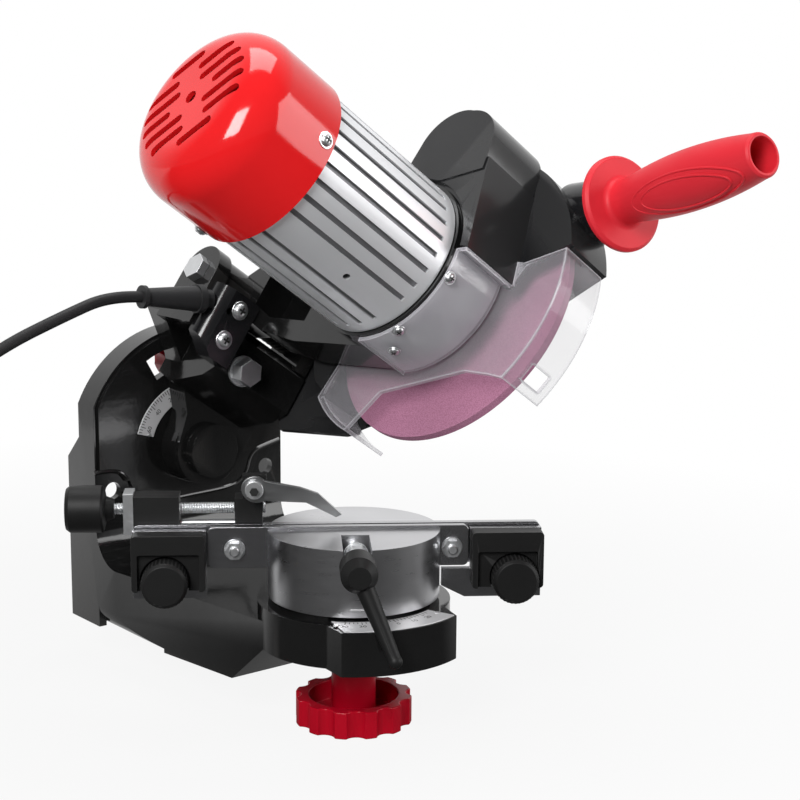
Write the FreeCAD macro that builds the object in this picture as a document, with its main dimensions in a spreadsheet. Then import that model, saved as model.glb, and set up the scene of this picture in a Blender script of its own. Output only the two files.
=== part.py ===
import FreeCAD, Part
import math
import os

# Electric bench sharpener for saw chains: a wall or bench casting, a turning vise with
# chain guides, and a tilting head whose arm carries the motor and the grinding disc.
# Millimetres. X to the right, Y to the back, Z up. The origin is midway between the two
# mounting holes, on the front face of the casting's back plate.

V = FreeCAD.Vector
doc = FreeCAD.newDocument("sharpener")
sheet = doc.addObject("Spreadsheet::Sheet", "Dims")

DIMS = [
    # placing of the moving groups at rest
    ("tilt_axis_z", 20.0), ("tilt_angle", 35.0), ("vise_angle", 35.0), ("vise_y", 152.5),
    ("hinge_y", 36.0), ("hinge_z", 76.0), ("motor_y", 158.0), ("motor_z", 107.0),
    # base casting
    ("plate_half", 62.0), ("arch_over", 6.0), ("wall", 4.5), ("rim_top", 17.0), ("rim_low", 30.0),
    ("base_low", 96.0), ("shelf_z", 60.0), ("shelf_end", 116.0), ("nose_half", 46.0),
    ("shelf_fillet", 20.0), ("foot_round", 12.0), ("hole_inset", 11.0), ("hole_r", 4.75),
    ("slot_inset", 16.0), ("slot_half", 6.5), ("pivot_r", 6.0),
    ("nose_r", 49.0), ("nose_top", 53.0), ("nose_low", 75.0),
    ("sector_r", 60.0), ("scale_t", 0.6), ("tilt_scale_in", 27.0), ("tilt_scale_out", 37.5),
    # vise
    ("table_r", 43.5), ("table_top", 17.1), ("table_low", 50.6), ("chain_y", 2.0), ("chain_gap", 1.8),
    ("rail_t", 4.0), ("rail_z", 21.0), ("rail_left", 111.0), ("rail_right", 95.0), ("fit", 0.05),
    ("front_rail_left", 30.0), ("front_rail_right", 14.5), ("rail_screw_r", 2.5), ("rail_head_r", 4.6),
    ("table_bolt_r", 5.0), ("knob_r", 11.5), ("knob_len", 14.0), ("guide_z", 41.0),
    ("left_knob_x", 94.5), ("right_knob_x", 80.5), ("stop_rod_r", 3.0), ("stop_y", 14.0),
    ("stop_z", 9.5), ("lever_z", 24.0), ("lever_y", 47.0), ("lever_hub_r", 9.0),
    # lock knob under the nose
    ("lock_r", 30.0), ("lock_top", 104.5), ("lock_t", 14.0), ("lock_hub_r", 11.3), ("lock_wall", 3.5),
    ("lock_lobe_r", 5.5), ("lock_lobes", 12.0),
    # tilting head
    ("boss_r", 21.0), ("bracket_gap", 0.4), ("pin_r", 5.0), ("pin_left", 73.0), ("pin_right", 13.0),
    ("depth_x", 28.4), ("depth_z", 40.2),
    ("lug_r", 15.0), ("lug_t", 9.0), ("barrel_hinge_r", 13.0), ("tilt_knob_r", 21.0), ("stud_r", 4.0),
    # motor
    ("stator_r", 42.3), ("face_lip", 1.7), ("can_front", 55.0), ("can_back", 141.5), ("can_wall", 5.0),
    ("rib_count", 30.0), ("rib_gap", 2.6), ("rib_depth", 1.8), ("panel_hole_r", 1.8), ("panel_hole_at", 37.3),
    ("cap_fit", 0.1), ("cap_back", 192.5), ("cap_wall", 2.2), ("cap_round", 20.0), ("vent_w", 4.2),
    ("vent_pitch", 8.1), ("vent_r", 31.5), ("fan_r", 31.0),
    ("shaft_r", 6.0), ("shaft_end", 10.8), ("core_at", 25.5), ("core_len", 46.0), ("rotor_r", 25.4),
    ("shield_t", 7.0), ("front_bearing_r", 13.0), ("rear_bearing_r", 11.0),
    # grinding disc and its housing
    ("disc_r", 72.5), ("disc_t", 4.5), ("bore_r", 11.1), ("flange_r", 25.0), ("flange_t", 4.0),
    ("house_r", 83.0), ("house_half", 14.0), ("house_near", 16.0), ("house_wall", 2.6), ("clear_r", 82.2),
    ("clear_wall", 2.0), ("box_near", 54.2), ("box_step", 0.8), ("neck_fit", 0.3), ("neck_gap", 2.3),
    ("switch_y", 165.0), ("switch_z", 168.0),
    # handle
    ("handle_angle", 12.5), ("handle_aside", 12.2), ("seat_angle", 44.6), ("seat_out", 18.5),
    ("handle_len", 98.5), ("grip_r", 14.6), ("grip_end_r", 10.4), ("neck_r", 11.2), ("handle_disc_r", 24.0),
    ("handle_disc_t", 5.0), ("grip_bore_r", 8.4), ("grip_bore_deep", 62.0),
    # mains lead
    ("cord_r", 3.0), ("coil_out", 42.0), ("coil_in", 30.0), ("coil_z", 18.5),
]
for row, (alias, number) in enumerate(DIMS, start=1):
    sheet.set("A%d" % row, alias)
    sheet.set("B%d" % row, str(number))
    sheet.setAlias("B%d" % row, alias)
doc.recompute()


def dim(alias):
    """Value of one named dimension."""
    return float(sheet.get(alias))


# sizes that follow from others and a named step between them
ARCH_R = dim("plate_half") + dim("arch_over")
SLOT_R = ARCH_R - dim("slot_inset")
HOLE_X = dim("plate_half") - dim("hole_inset")
FACE_R = dim("stator_r") + dim("face_lip")
CAP_R = dim("stator_r") + dim("cap_wall") + dim("cap_fit")
FRONT_LEFT = -dim("table_r") - dim("front_rail_left")
FRONT_RIGHT = dim("table_r") + dim("front_rail_right")

TILT = FreeCAD.Placement(V(0, 0, dim("tilt_axis_z")), FreeCAD.Rotation(V(0, 1, 0), dim("tilt_angle")))
BASE = FreeCAD.Placement(V(0, 0, dim("tilt_axis_z")), FreeCAD.Rotation())
VISE = FreeCAD.Placement(V(0, -dim("vise_y"), dim("tilt_axis_z")),
                         FreeCAD.Rotation(V(0, 0, 1), -dim("vise_angle")))

parts = []


def keep(obj, label, place):
    """Register a finished sub-part with its label and its place in the assembly."""
    obj.Label = label
    obj.Placement = place
    parts.append(obj)
    return obj


# ---------------------------------------------------------------- sketch helpers

def arc(middle, end):
    return ("arc", middle, end)


def ring(x, y, radius):
    return ("ring", x, y, radius)


def bow(centre, radius, start, finish):
    """Arc item that ends at an angle on a circle; start and finish in degrees."""
    def point(angle):
        a = math.radians(angle)
        return (centre[0] + radius * math.cos(a), centre[1] + radius * math.sin(a))
    return point(start), arc(point((start + finish) / 2.0), point(finish))


def edges_of(path):
    """Edges of a closed outline of points and arcs, or of one full circle."""
    if path[0] == "ring":
        return [Part.Circle(V(path[1], path[2], 0), V(0, 0, 1), path[3])]
    made = []
    here = path[0]
    for item in list(path[1:]) + [path[0]]:
        if item[0] == "arc":
            mid, end = item[1], item[2]
            made.append(Part.Arc(V(here[0], here[1], 0), V(mid[0], mid[1], 0), V(end[0], end[1], 0)))
            here = end
        elif math.hypot(item[0] - here[0], item[1] - here[1]) > 1e-6:
            made.append(Part.LineSegment(V(here[0], here[1], 0), V(item[0], item[1], 0)))
            here = item
    return made


def new_body(name):
    return doc.addObject("PartDesign::Body", name + "_body")


def sketch(body, plane, offset, *paths):
    """Sketch on an origin plane, moved along its normal by offset."""
    made = body.newObject("Sketcher::SketchObject", "Sketch")
    origin = [f for f in body.Origin.OriginFeatures if f.Role == plane][0]
    made.AttachmentSupport = [(origin, "")]
    made.MapMode = "FlatFace"
    made.AttachmentOffset = FreeCAD.Placement(V(0, 0, offset), FreeCAD.Rotation())
    for path in paths:
        for edge in edges_of(path):
            made.addGeometry(edge, False)
    doc.recompute()
    return made


def pad(body, profile, length, midplane=False, back=False):
    made = body.newObject("PartDesign::Pad", "Pad")
    made.Profile = profile
    made.setExpression("Length", length)
    made.Midplane = midplane
    made.Reversed = back
    doc.recompute()
    return made


def pocket(body, profile, length, midplane=False, back=False):
    made = body.newObject("PartDesign::Pocket", "Pocket")
    made.Profile = profile
    made.setExpression("Length", length)
    made.Midplane = midplane
    made.Reversed = back
    doc.recompute()
    return made


def turn(body, profile, axis="V_Axis"):
    made = body.newObject("PartDesign::Revolution", "Revolution")
    made.Profile = profile
    made.ReferenceAxis = (profile, [axis])
    made.Angle = 360.0
    doc.recompute()
    return made


def polar(body, feature, axis, count, angle=360.0):
    """Repeat a feature about one of the body's origin axes."""
    made = body.newObject("PartDesign::PolarPattern", "PolarPattern")
    made.Originals = [feature]
    made.Axis = ([f for f in body.Origin.OriginFeatures if f.Role == axis][0], [""])
    made.Angle = angle
    made.Occurrences = int(round(count))
    body.Tip = made
    doc.recompute()
    return made


def aim(point, direction):
    """Placement whose Z axis points along direction."""
    return FreeCAD.Placement(point, FreeCAD.Rotation(V(0, 0, 1), direction))


def rod(radius, length, point, direction):
    """Cylinder with its radius and length bound to the sheet."""
    made = doc.addObject("Part::Cylinder", "Rod")
    made.setExpression("Radius", radius)
    made.setExpression("Height", length)
    made.Placement = aim(point, direction)
    return made


def hexagon(across, height, point, direction):
    """Hexagonal prism, given its size across the flats."""
    made = doc.addObject("Part::Prism", "Hexagon")
    made.Polygon = 6
    made.setExpression("Circumradius", "%s / sqrt(3)" % across)
    made.setExpression("Height", height)
    made.Placement = aim(point, direction)
    return made


def fuse(*shapes):
    made = doc.addObject("Part::MultiFuse", "Fuse")
    made.Shapes = list(shapes)
    made.Refine = True
    return made


def cut(base, tool):
    made = doc.addObject("Part::Cut", "Cut")
    made.Base = base
    made.Tool = tool
    made.Refine = True
    return made


def solid(shape, label, place):
    """Sub-part whose shape is worked out with Part functions from the sheet's sizes."""
    made = doc.addObject("Part::Feature", label)
    made.Shape = shape
    return keep(made, label, place.multiply(shape.Placement))


def face(path):
    wire = Part.Wire([e.toShape() for e in edges_of(path)])
    return Part.Face(wire)


def slab_x(path, low, high):
    """Outline in (Y, Z), extruded along X from low to high."""
    made = face(path).extrude(V(0, 0, high - low))
    made.Placement = FreeCAD.Placement(V(low, 0, 0), FreeCAD.Rotation(V(1, 1, 1), 120))
    return made


def slab_y(path, low, high):
    """Outline in (X, Z), extruded along Y from low to high."""
    made = face(path).extrude(V(0, 0, high - low))
    made.Placement = FreeCAD.Placement(V(0, high, 0), FreeCAD.Rotation(V(1, 0, 0), 90))
    return made


def slab_z(path, low, high):
    made = face(path).extrude(V(0, 0, high - low))
    made.Placement = FreeCAD.Placement(V(0, 0, low), FreeCAD.Rotation())
    return made


def bar(radius, start, end):
    return Part.makeCylinder(radius, (end - start).Length, start, end - start)


# ---------------------------------------------------------------- base casting

def plate_outline(inset, low):
    """Arched plate seen from the front, inset from its edge, down to the height low."""
    half = dim("plate_half") - inset
    radius = ARCH_R - inset
    rise = math.sqrt(radius ** 2 - half ** 2)
    return [(-half, low), (-half, rise), arc((0, radius), (half, rise)), (half, low)]


def base_casting():
    body = new_body("base_casting")
    half, wall, low = dim("plate_half"), dim("wall"), dim("base_low")
    shelf, nose_y = dim("shelf_z"), dim("vise_y")
    pad(body, sketch(body, "XZ_Plane", 0, plate_outline(0, -low)), "Dims.rim_top", back=True)
    step = dim("rim_low") - dim("rim_top")
    skirt = [(0, -low), (dim("rim_low"), -low), (dim("rim_low"), -4), (dim("rim_top"), step - 4),
             (0, step - 4)]
    pad(body, sketch(body, "YZ_Plane", 0, skirt), "Dims.plate_half * 2", midplane=True)
    fillet = dim("shelf_fillet")
    chamfer = dim("base_low") - dim("nose_low")
    shelf_side = [(wall, fillet - shelf), (0, fillet - shelf),
                  arc((-0.293 * fillet, -shelf + 0.293 * fillet), (-fillet, -shelf)),
                  (-nose_y, -shelf), (-nose_y, chamfer - low), (chamfer * 0.6 - nose_y, chamfer - low),
                  (-dim("shelf_end"), -low), (wall, -low)]
    pad(body, sketch(body, "YZ_Plane", 0, shelf_side), "Dims.plate_half * 2", midplane=True)
    out = half + 5.0
    for side in (-1, 1):
        corner = [(side * half, -fillet), (side * dim("nose_half"), -nose_y),
                  (side * dim("nose_half"), -nose_y - 5), (side * out, -nose_y - 5), (side * out, -fillet)]
        pocket(body, sketch(body, "XY_Plane", -low - 1, corner), "Dims.base_low", back=True)
    nose = "Dims.nose_low - Dims.nose_top"
    pad(body, sketch(body, "XY_Plane", -dim("nose_low"), ring(0, -nose_y, dim("nose_r"))), nose)
    sector = list(bow((0, -nose_y), dim("sector_r"), -133, -70))
    inner = list(bow((0, -nose_y), dim("nose_r") - 1, -58, -145))
    pad(body, sketch(body, "XY_Plane", -dim("nose_low"), sector + inner), nose)
    # rounded lower corners of the foot
    r = dim("foot_round")
    c = 0.293 * r
    for side in (-1, 1):
        corner = [(side * (half + 2), -low - 2), (side * (half - r), -low - 2), (side * (half - r), -low),
                  arc((side * (half - c), c - low), (side * half, r - low)), (side * (half + 2), r - low)]
        pocket(body, sketch(body, "XZ_Plane", 1, corner), "Dims.rim_low + 30", back=True)
        pocket(body, sketch(body, "XZ_Plane", -dim("rim_low") - 1, corner), "Dims.rim_low + 2")
    # hollow from the back and from below, with a boss round the clamping bolt
    pocket(body, sketch(body, "XZ_Plane", -wall, plate_outline(wall, -low - 1)), "Dims.rim_low")
    end, end_half = wall - dim("shelf_end"), dim("nose_half") - wall + 4
    under = [(wall - half, wall + 1), (half - wall, wall + 1), (half - wall, -fillet), (end_half, end),
             (-end_half, end), (wall - half, -fillet)]
    pocket(body, sketch(body, "XY_Plane", -low - 1, under),
           "Dims.base_low - Dims.shelf_z - Dims.wall + 1", back=True)
    cavity = sketch(body, "XY_Plane", -dim("nose_low"), ring(0, -nose_y, dim("nose_r") - wall),
                    ring(0, -nose_y, 3 * dim("table_bolt_r")))
    pocket(body, cavity, nose + " - Dims.wall", back=True)
    for x in (-0.5, 0.5):
        rib = [(x * half - 1.5, wall - 0.5), (x * half + 1.5, wall - 0.5), (x * half + 1.5, end - 3.5),
               (x * half - 1.5, end - 3.5)]
        pad(body, sketch(body, "XY_Plane", -low + 8, rib), "Dims.base_low - Dims.shelf_z - 9")
    # raised field of the front face, stepped back round the two mounting holes
    edge = half - 2.0
    top = plate_outline(2.0, 0)
    step_low = -30.0
    field = [(edge, -6), (45, -10), (38, -27), (10, step_low), (-36, step_low), (-41, -16), (-46, -10),
             (-edge, -8)]
    pad(body, sketch(body, "XZ_Plane", 0, top[1:4] + field), "2")
    # bores, mounting holes, tilt slot and the window in the rim
    pocket(body, sketch(body, "XZ_Plane", 3, ring(0, 0, dim("pivot_r"))), "20")
    for side in (-1, 1):
        hole = ring(side * HOLE_X, -dim("tilt_axis_z"), dim("hole_r"))
        pocket(body, sketch(body, "XZ_Plane", 1, hole), "20")
    slot = list(bow((0, 0), SLOT_R - dim("slot_half"), 66, 120))
    slot += list(bow((0, 0), SLOT_R + dim("slot_half"), 120, 66))
    pocket(body, sketch(body, "XZ_Plane", 3, slot), "20")
    window = [(-9, wall + 1), (9, wall + 1), (9, dim("rim_top") - 3), (-9, dim("rim_top") - 3)]
    pocket(body, sketch(body, "XY_Plane", ARCH_R + 2, window), "12")
    bore = ring(0, -nose_y, dim("table_bolt_r") + dim("fit"))
    pocket(body, sketch(body, "XY_Plane", 1 - dim("nose_top"), bore), "Dims.nose_low")
    return keep(body, "base_casting", BASE)


def scales():
    inner, outer, t = dim("tilt_scale_in"), dim("tilt_scale_out"), dim("scale_t")
    tilt = list(bow((0, 0), inner, 94, 164)) + list(bow((0, 0), outer, 164, 94))
    solid(slab_y(tilt, -2.0 - t, -2.0), "tilt_scale", BASE)
    centre = (0, -dim("vise_y"))
    turned = list(bow(centre, dim("table_r") + 0.5, -142, -71))
    turned += list(bow(centre, dim("sector_r") - 0.6, -71, -132))
    solid(slab_z(turned, -dim("nose_top"), t - dim("nose_top")), "vise_scale", BASE)


def tilt_pivot():
    """Pivot pin of the head, with its nut behind the back plate."""
    pin = rod("Dims.pivot_r", "36", V(0, -20, 0), V(0, 1, 0))
    nut = hexagon("18", "8", V(0, dim("wall"), 0), V(0, 1, 0))
    keep(fuse(pin, nut), "tilt_pivot", BASE)


# ---------------------------------------------------------------- vise

def turntable():
    body = new_body("turntable")
    low, r = dim("table_low"), dim("table_r")
    pad(body, sketch(body, "XY_Plane", -low, ring(0, 0, r)), "Dims.table_low - Dims.table_top")
    front = dim("chain_y") - dim("chain_gap") / 2 - dim("rail_t")
    back = dim("chain_y") + dim("chain_gap") / 2 + dim("rail_t")
    bottom = dim("table_top") - 1.6 + dim("rail_z")
    slot = [(front, -bottom), (back, -bottom), (back, 0), (front, 0)]
    pocket(body, sketch(body, "YZ_Plane", 0, slot), "Dims.table_r * 3", midplane=True)
    notch = [(-7, -dim("lever_z")), arc((0, -dim("lever_z") - 7), (7, -dim("lever_z"))), (7, 0), (-7, 0)]
    pocket(body, sketch(body, "XZ_Plane", 14, notch), "60", back=True)
    pocket(body, sketch(body, "XZ_Plane", 0, ring(0, -dim("lever_z"), 3.5)), "30", midplane=True)
    under = sketch(body, "XY_Plane", -low, ring(0, 0, r - 4.5), ring(0, 0, 13))
    pocket(body, under, "9", back=True)
    pocket(body, sketch(body, "XY_Plane", -low, ring(0, 0, dim("table_bolt_r"))), "12", back=True)
    return keep(body, "turntable", VISE)


def rail_path(left, right, low, high, corner):
    """Upright plate outline in (X, Z) with rounded corners."""
    c = 0.293 * corner
    return [(left + corner, low), (right - corner, low), arc((right - c, low + c), (right, low + corner)),
            (right, high - corner), arc((right - c, high - c), (right - corner, high)),
            (left + corner, high), arc((left + c, high - c), (left, high - corner)),
            (left, low + corner), arc((left + c, low + c), (left + corner, low))]


def rails():
    high = 1.6 - dim("table_top")
    low = high - dim("rail_z")
    t = dim("rail_t")
    front_y = dim("chain_y") - dim("chain_gap") / 2 - t
    back_y = dim("chain_y") + dim("chain_gap") / 2
    screws = ((FRONT_LEFT + 13.5, "left"), (FRONT_RIGHT - 8.5, "right"))
    middle = (low + high) / 2 - 1
    holes = [bar(dim("rail_screw_r"), V(x, -20, middle), V(x, 20, middle)) for x, _ in screws]
    front = slab_y(rail_path(FRONT_LEFT, FRONT_RIGHT, low, high, 3), front_y, front_y + t)
    rear = slab_y(rail_path(-dim("rail_left"), dim("rail_right"), low, high, 3), back_y, back_y + t)
    solid(front.cut(holes[0]).cut(holes[1]), "front_rail", VISE)
    solid(rear.cut(holes[0]).cut(holes[1]), "rear_rail", VISE)
    for x, side in screws:
        shank = rod("Dims.rail_screw_r", "2 * Dims.rail_t + Dims.chain_gap + 9", V(x, front_y - 2, middle),
                    V(0, 1, 0))
        head = rod("Dims.rail_head_r", "3.2", V(x, front_y - 3.2, middle), V(0, 1, 0))
        nut = hexagon("3.2 * Dims.rail_screw_r", "4", V(x, back_y + t, middle), V(0, 1, 0))
        keep(fuse(shank, head, nut), "rail_screw_" + side, VISE)


def guide_ends():
    """Bracket plate, plastic guide block and thumb knob at each end of the rails."""
    high = -dim("table_top")
    t = dim("rail_t")
    front_y = dim("chain_y") - dim("chain_gap") / 2 - t
    knob_z, r = -dim("guide_z"), dim("knob_r")
    left, right = dim("rail_left"), dim("rail_right")
    plates = {
        "left": [(-left, -52), (FRONT_LEFT - 0.7, -52), (FRONT_LEFT - 0.7, high), (-left, high)],
        "right": [(right, -53), (FRONT_RIGHT - 2, -53), (FRONT_RIGHT - 13.8, -47), (FRONT_RIGHT - 13.8, -38),
                  (FRONT_RIGHT + 0.7, -38), (FRONT_RIGHT + 0.7, high), (right, high)],
    }
    knob_x = {"left": -dim("left_knob_x"), "right": dim("right_knob_x")}
    spans = {"left": (-left, FRONT_LEFT - 1.0), "right": (FRONT_RIGHT + 0.9, right)}
    for side in ("left", "right"):
        x = knob_x[side]
        bore = bar(3.0 + dim("fit"), V(x, -30, knob_z), V(x, 30, knob_z))
        plate = slab_y(plates[side], front_y, front_y + t).cut(bore)
        solid(plate, "bracket_" + side, VISE)
        low_x, high_x = spans[side]
        piece = slab_y(rail_path(low_x, high_x, -46, high, 2), front_y - 10, front_y)
        step = slab_y(rail_path(low_x + 3, high_x - 3, -47, -27, 1), front_y - 11, front_y - 7)
        seat = bar(r + 1.0, V(x, -30, knob_z), V(x, front_y - 2.5, knob_z))
        solid(piece.cut([step, seat, bore]), "guide_block_" + side, VISE)
        body = new_body("guide_knob_" + side)
        back = front_y - 3.0
        profile = [(0, 0), (r - 1, 0), (r, 1), (r, dim("knob_len") - 1.5), (r - 1.5, dim("knob_len")),
                   (0, dim("knob_len"))]
        turn(body, sketch(body, "XZ_Plane", 0, profile))
        pad(body, sketch(body, "XY_Plane", 0, ring(0, 0, 3.0)), "8", back=True)
        keep(body, "guide_knob_" + side, VISE.multiply(aim(V(x, back, knob_z), V(0, -1, 0))))


def turntable_bolt():
    low = V(0, 0, -dim("lock_top") - 4)
    bolt = rod("Dims.table_bolt_r", "Dims.lock_top - Dims.table_low + 16", low, V(0, 0, 1))
    keep(bolt, "turntable_bolt", VISE.multiply(bolt.Placement))


def lock_knob():
    """Lobed cup on a hub that screws up against the nose."""
    body = new_body("lock_knob")
    r, t, wall = dim("lock_r"), dim("lock_t"), dim("lock_wall")
    pad(body, sketch(body, "XY_Plane", 0, ring(0, 0, r)), "Dims.lock_t")
    pocket(body, sketch(body, "XY_Plane", t, ring(0, 0, r - 2 * wall)), "Dims.lock_t - Dims.lock_wall")
    lobe = ring(r + 0.45 * dim("lock_lobe_r"), 0, dim("lock_lobe_r"))
    scallop = pocket(body, sketch(body, "XY_Plane", t, lobe), "Dims.lock_t")
    polar(body, scallop, "Z_Axis", dim("lock_lobes"))
    pad(body, sketch(body, "XY_Plane", 0, ring(0, 0, dim("lock_hub_r"))),
        "Dims.lock_top + Dims.lock_t - Dims.nose_low - 0.3")
    bore = ring(0, 0, dim("table_bolt_r") + dim("fit"))
    pocket(body, sketch(body, "XY_Plane", dim("lock_top") + t - dim("nose_low"), bore),
           "Dims.lock_top - Dims.nose_low + 6")
    low = V(0, 0, -dim("lock_top") - t)
    keep(body, "lock_knob", VISE.multiply(FreeCAD.Placement(low, FreeCAD.Rotation())))


def clamp():
    z, y = -dim("lever_z"), dim("lever_y")
    front_y = dim("chain_y") - dim("chain_gap") / 2 - dim("rail_t")
    stud = rod("3.5", "Dims.lever_y + 9 - %.3f" % -front_y, V(0, front_y, z), V(0, -1, 0))
    washer = rod("6.2", "1.6", V(0, -25, z), V(0, -1, 0))
    nut = hexagon("10", "6", V(0, -26.6, z), V(0, -1, 0))
    keep(fuse(stud, washer, nut), "clamp_stud", VISE)
    hub = Part.makeCylinder(dim("lever_hub_r"), 15, V(0, -y, z), V(0, -1, 0))
    cap = Part.makeCone(dim("lever_hub_r"), 5.5, 5, V(0, -y - 15, z), V(0, -1, 0))
    tip = V(16.6, -y - 24, -63.5)
    start = V(0, -y - 11, z)
    arm = Part.makeCone(5.0, 3.2, (tip - start).Length, start, tip - start)
    ball = Part.makeSphere(3.5, tip)
    bore = bar(3.5 + dim("fit"), V(0, -y + 1, z), V(0, -y - 9.3, z))
    solid(hub.fuse([cap, arm, ball]).cut(bore).removeSplitter(), "clamp_lever", VISE)


def chain_stop():
    """Screw-set stop: knob and screw, carriage on its guide rod, and the lifting pawl."""
    y, z, r, fit = dim("stop_y"), -dim("stop_z"), dim("stop_rod_r"), dim("fit")
    back = dim("chain_y") + dim("chain_gap") / 2 + dim("rail_t")
    left = -dim("rail_left")
    guide_z = z - 8.0
    screw_bore = bar(r + fit, V(-160, y, z), V(-30, y, z))
    guide_bore = bar(2 + fit, V(-160, y, guide_z), V(-30, y, guide_z))
    bearing = Part.makeBox(23, 14, 30, V(left, back, -32))
    solid(bearing.cut(screw_bore).cut(guide_bore), "stop_bearing", VISE)
    plate = Part.makeBox(5, 14, 21, V(left - 5, back, -21.5))
    solid(plate.cut(screw_bore).cut(guide_bore), "stop_plate", VISE)
    screw = rod("Dims.stop_rod_r", "82.5", V(-127, y, z), V(1, 0, 0))
    keep(screw, "stop_screw", VISE.multiply(screw.Placement))
    body = new_body("stop_knob")
    profile = [(0, 0), (5, 0), (6.5, 4), (11, 5), (12, 6), (12, 22), (10.5, 24), (0, 24)]
    turn(body, sketch(body, "XZ_Plane", 0, profile))
    pocket(body, sketch(body, "XY_Plane", 0, ring(0, 0, r)), "6", back=True)
    keep(body, "stop_knob", VISE.multiply(aim(V(-121, y, z), V(-1, 0, 0))))
    block_low = guide_z - 4.5
    carriage = Part.makeBox(14, 12.5, z + 6.5 - block_low, V(-60, back + 0.4, block_low))
    ear = Part.makeBox(12, 5.5, 9 - z - 6, V(-56, back + 0.4, z + 6))
    pivot = V(-50, 0, 3.0)
    hole = bar(2.5, V(pivot.x, back - 3, pivot.z), V(pivot.x, back + 9, pivot.z))
    threaded = bar(r + fit, V(-70, y, z), V(-40, y, z))
    rod_hole = bar(2, V(-70, y, guide_z), V(-57, y, guide_z))
    solid(carriage.fuse(ear).cut(threaded).cut(hole).cut(rod_hole).removeSplitter(), "stop_carriage", VISE)
    guide = rod("2", "57", V(-114, y, guide_z), V(1, 0, 0))
    keep(guide, "stop_guide_rod", VISE.multiply(guide.Placement))
    reach = "Dims.chain_y + Dims.chain_gap / 2 + Dims.rail_t + 5.3"
    pin = rod("2.5", reach, V(pivot.x, 0.6, pivot.z), V(0, 1, 0))
    head = rod("4.6", "2.7", V(pivot.x, -2, pivot.z), V(0, 1, 0))
    keep(fuse(pin, head), "pawl_screw", VISE)
    blade = [(-56.5, 3), arc((-50, 9.5), (-45, 7.2)), (-27, 3.6), (-18, 0.5), (-6.0, -10.5), (-9, -11.8),
             (-24, -4.2), (-45, -3.0), arc((-54, -2), (-56.5, 3))]
    pawl = slab_y(blade, 1.0, 4.0).cut(bar(2.5 + fit, V(pivot.x, -5, pivot.z), V(pivot.x, 9, pivot.z)))
    boss = Part.makeCylinder(4.5, 3.0, V(pivot.x, 4.0, pivot.z), V(0, 1, 0))
    boss = boss.cut(bar(2.5 + fit, V(pivot.x, 3, pivot.z), V(pivot.x, 9, pivot.z)))
    solid(pawl.fuse(boss).removeSplitter(), "stop_pawl", VISE)


# ---------------------------------------------------------------- tilting head

HINGE = (-dim("hinge_y"), dim("hinge_z"))
MOTOR = (-dim("motor_y"), dim("motor_z"))
STUD_ANGLE = math.radians(110.0)
STUD = V(SLOT_R * math.cos(STUD_ANGLE), 0, SLOT_R * math.sin(STUD_ANGLE))


def along(radius, low, high, centre):
    """Cylinder parallel to the spindle, between two X values, centred at (Y, Z)."""
    return Part.makeCylinder(radius, high - low, V(low, centre[0], centre[1]), V(1, 0, 0))


def tilt_bracket():
    gap = -2.0 - dim("bracket_gap")
    boss = bar(dim("boss_r"), V(0, gap, 0), V(0, -16, 0))
    nose = bar(15, V(0, -15, 0), V(0, -25, 0))
    web_path = [(-20, -4), (-24, 10), (-46, 34), (-70, 50), (-70, 61), (11, 61), (21, 36), (20.5, 4),
                arc((0, -20.5), (-20, -4))]
    web = slab_y(web_path, -19, -3.2)
    cheek = [(-3.2, 24), (-19, 20), (-44, 28), (-52, 35), (-52, 56), (-47, 61), (-3.2, 61)]
    beam = slab_x(cheek, -44, 12)
    low_bar = slab_x([(-19, 46), (-52, 46), (-52, 56), (-47, 61), (-19, 61)], -72, -44)
    made = boss.fuse([nose, web, beam, low_bar])
    y, z, r = HINGE[0], HINGE[1], dim("lug_r")
    lug = [(y + r, 58), (y + r, z), arc((y, z + r), (y - r, z)), (y - r, 58)]
    near = slab_x(lug, 1 - dim("pin_left"), 1 - dim("pin_left") + dim("lug_t"))
    far = slab_x(lug, dim("pin_right") - 1 - dim("lug_t"), dim("pin_right") - 1)
    made = made.fuse([near, far])
    made = made.cut(along(dim("pin_r"), -90, 40, HINGE))
    made = made.cut(bar(dim("pivot_r") + dim("fit"), V(0, 5, 0), V(0, -20.5, 0)))
    made = made.cut(bar(dim("stud_r"), V(STUD.x, 5, STUD.z), V(STUD.x, -15, STUD.z)))
    depth = V(-dim("depth_x"), 0, dim("depth_z"))
    made = made.cut(bar(4.0 + dim("fit"), depth - V(0, 60, 0), depth - V(0, 24, 0)))
    solid(made.removeSplitter(), "tilt_bracket", TILT)


def hinge_parts():
    y, z = HINGE
    left = 1 - dim("pin_left")
    pin = rod("Dims.pin_r", "Dims.pin_left + Dims.pin_right + 11", V(left, y, z), V(1, 0, 0))
    head = hexagon("13", "5", V(left, y, z), V(-1, 0, 0))
    nut = hexagon("13", "6", V(dim("pin_right") + 5, y, z), V(1, 0, 0))
    keep(fuse(pin, head, nut), "hinge_bolt", TILT)
    outer = rod("11.5", "22.3", V(-19.7, y, z), V(1, 0, 0))
    inner = rod("7.5", "26", V(-22, y, z), V(1, 0, 0))
    keep(cut(outer, inner), "return_spring", TILT)


def depth_screw():
    x, z = -dim("depth_x"), dim("depth_z")
    shank = rod("4", "28", V(x, -26, z), V(0, -1, 0))
    washer = rod("8.5", "1.8", V(x, -52.2, z), V(0, -1, 0))
    head = hexagon("13", "8", V(x, -54, z), V(0, -1, 0))
    keep(fuse(shank, washer, head), "depth_screw", TILT)


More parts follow.
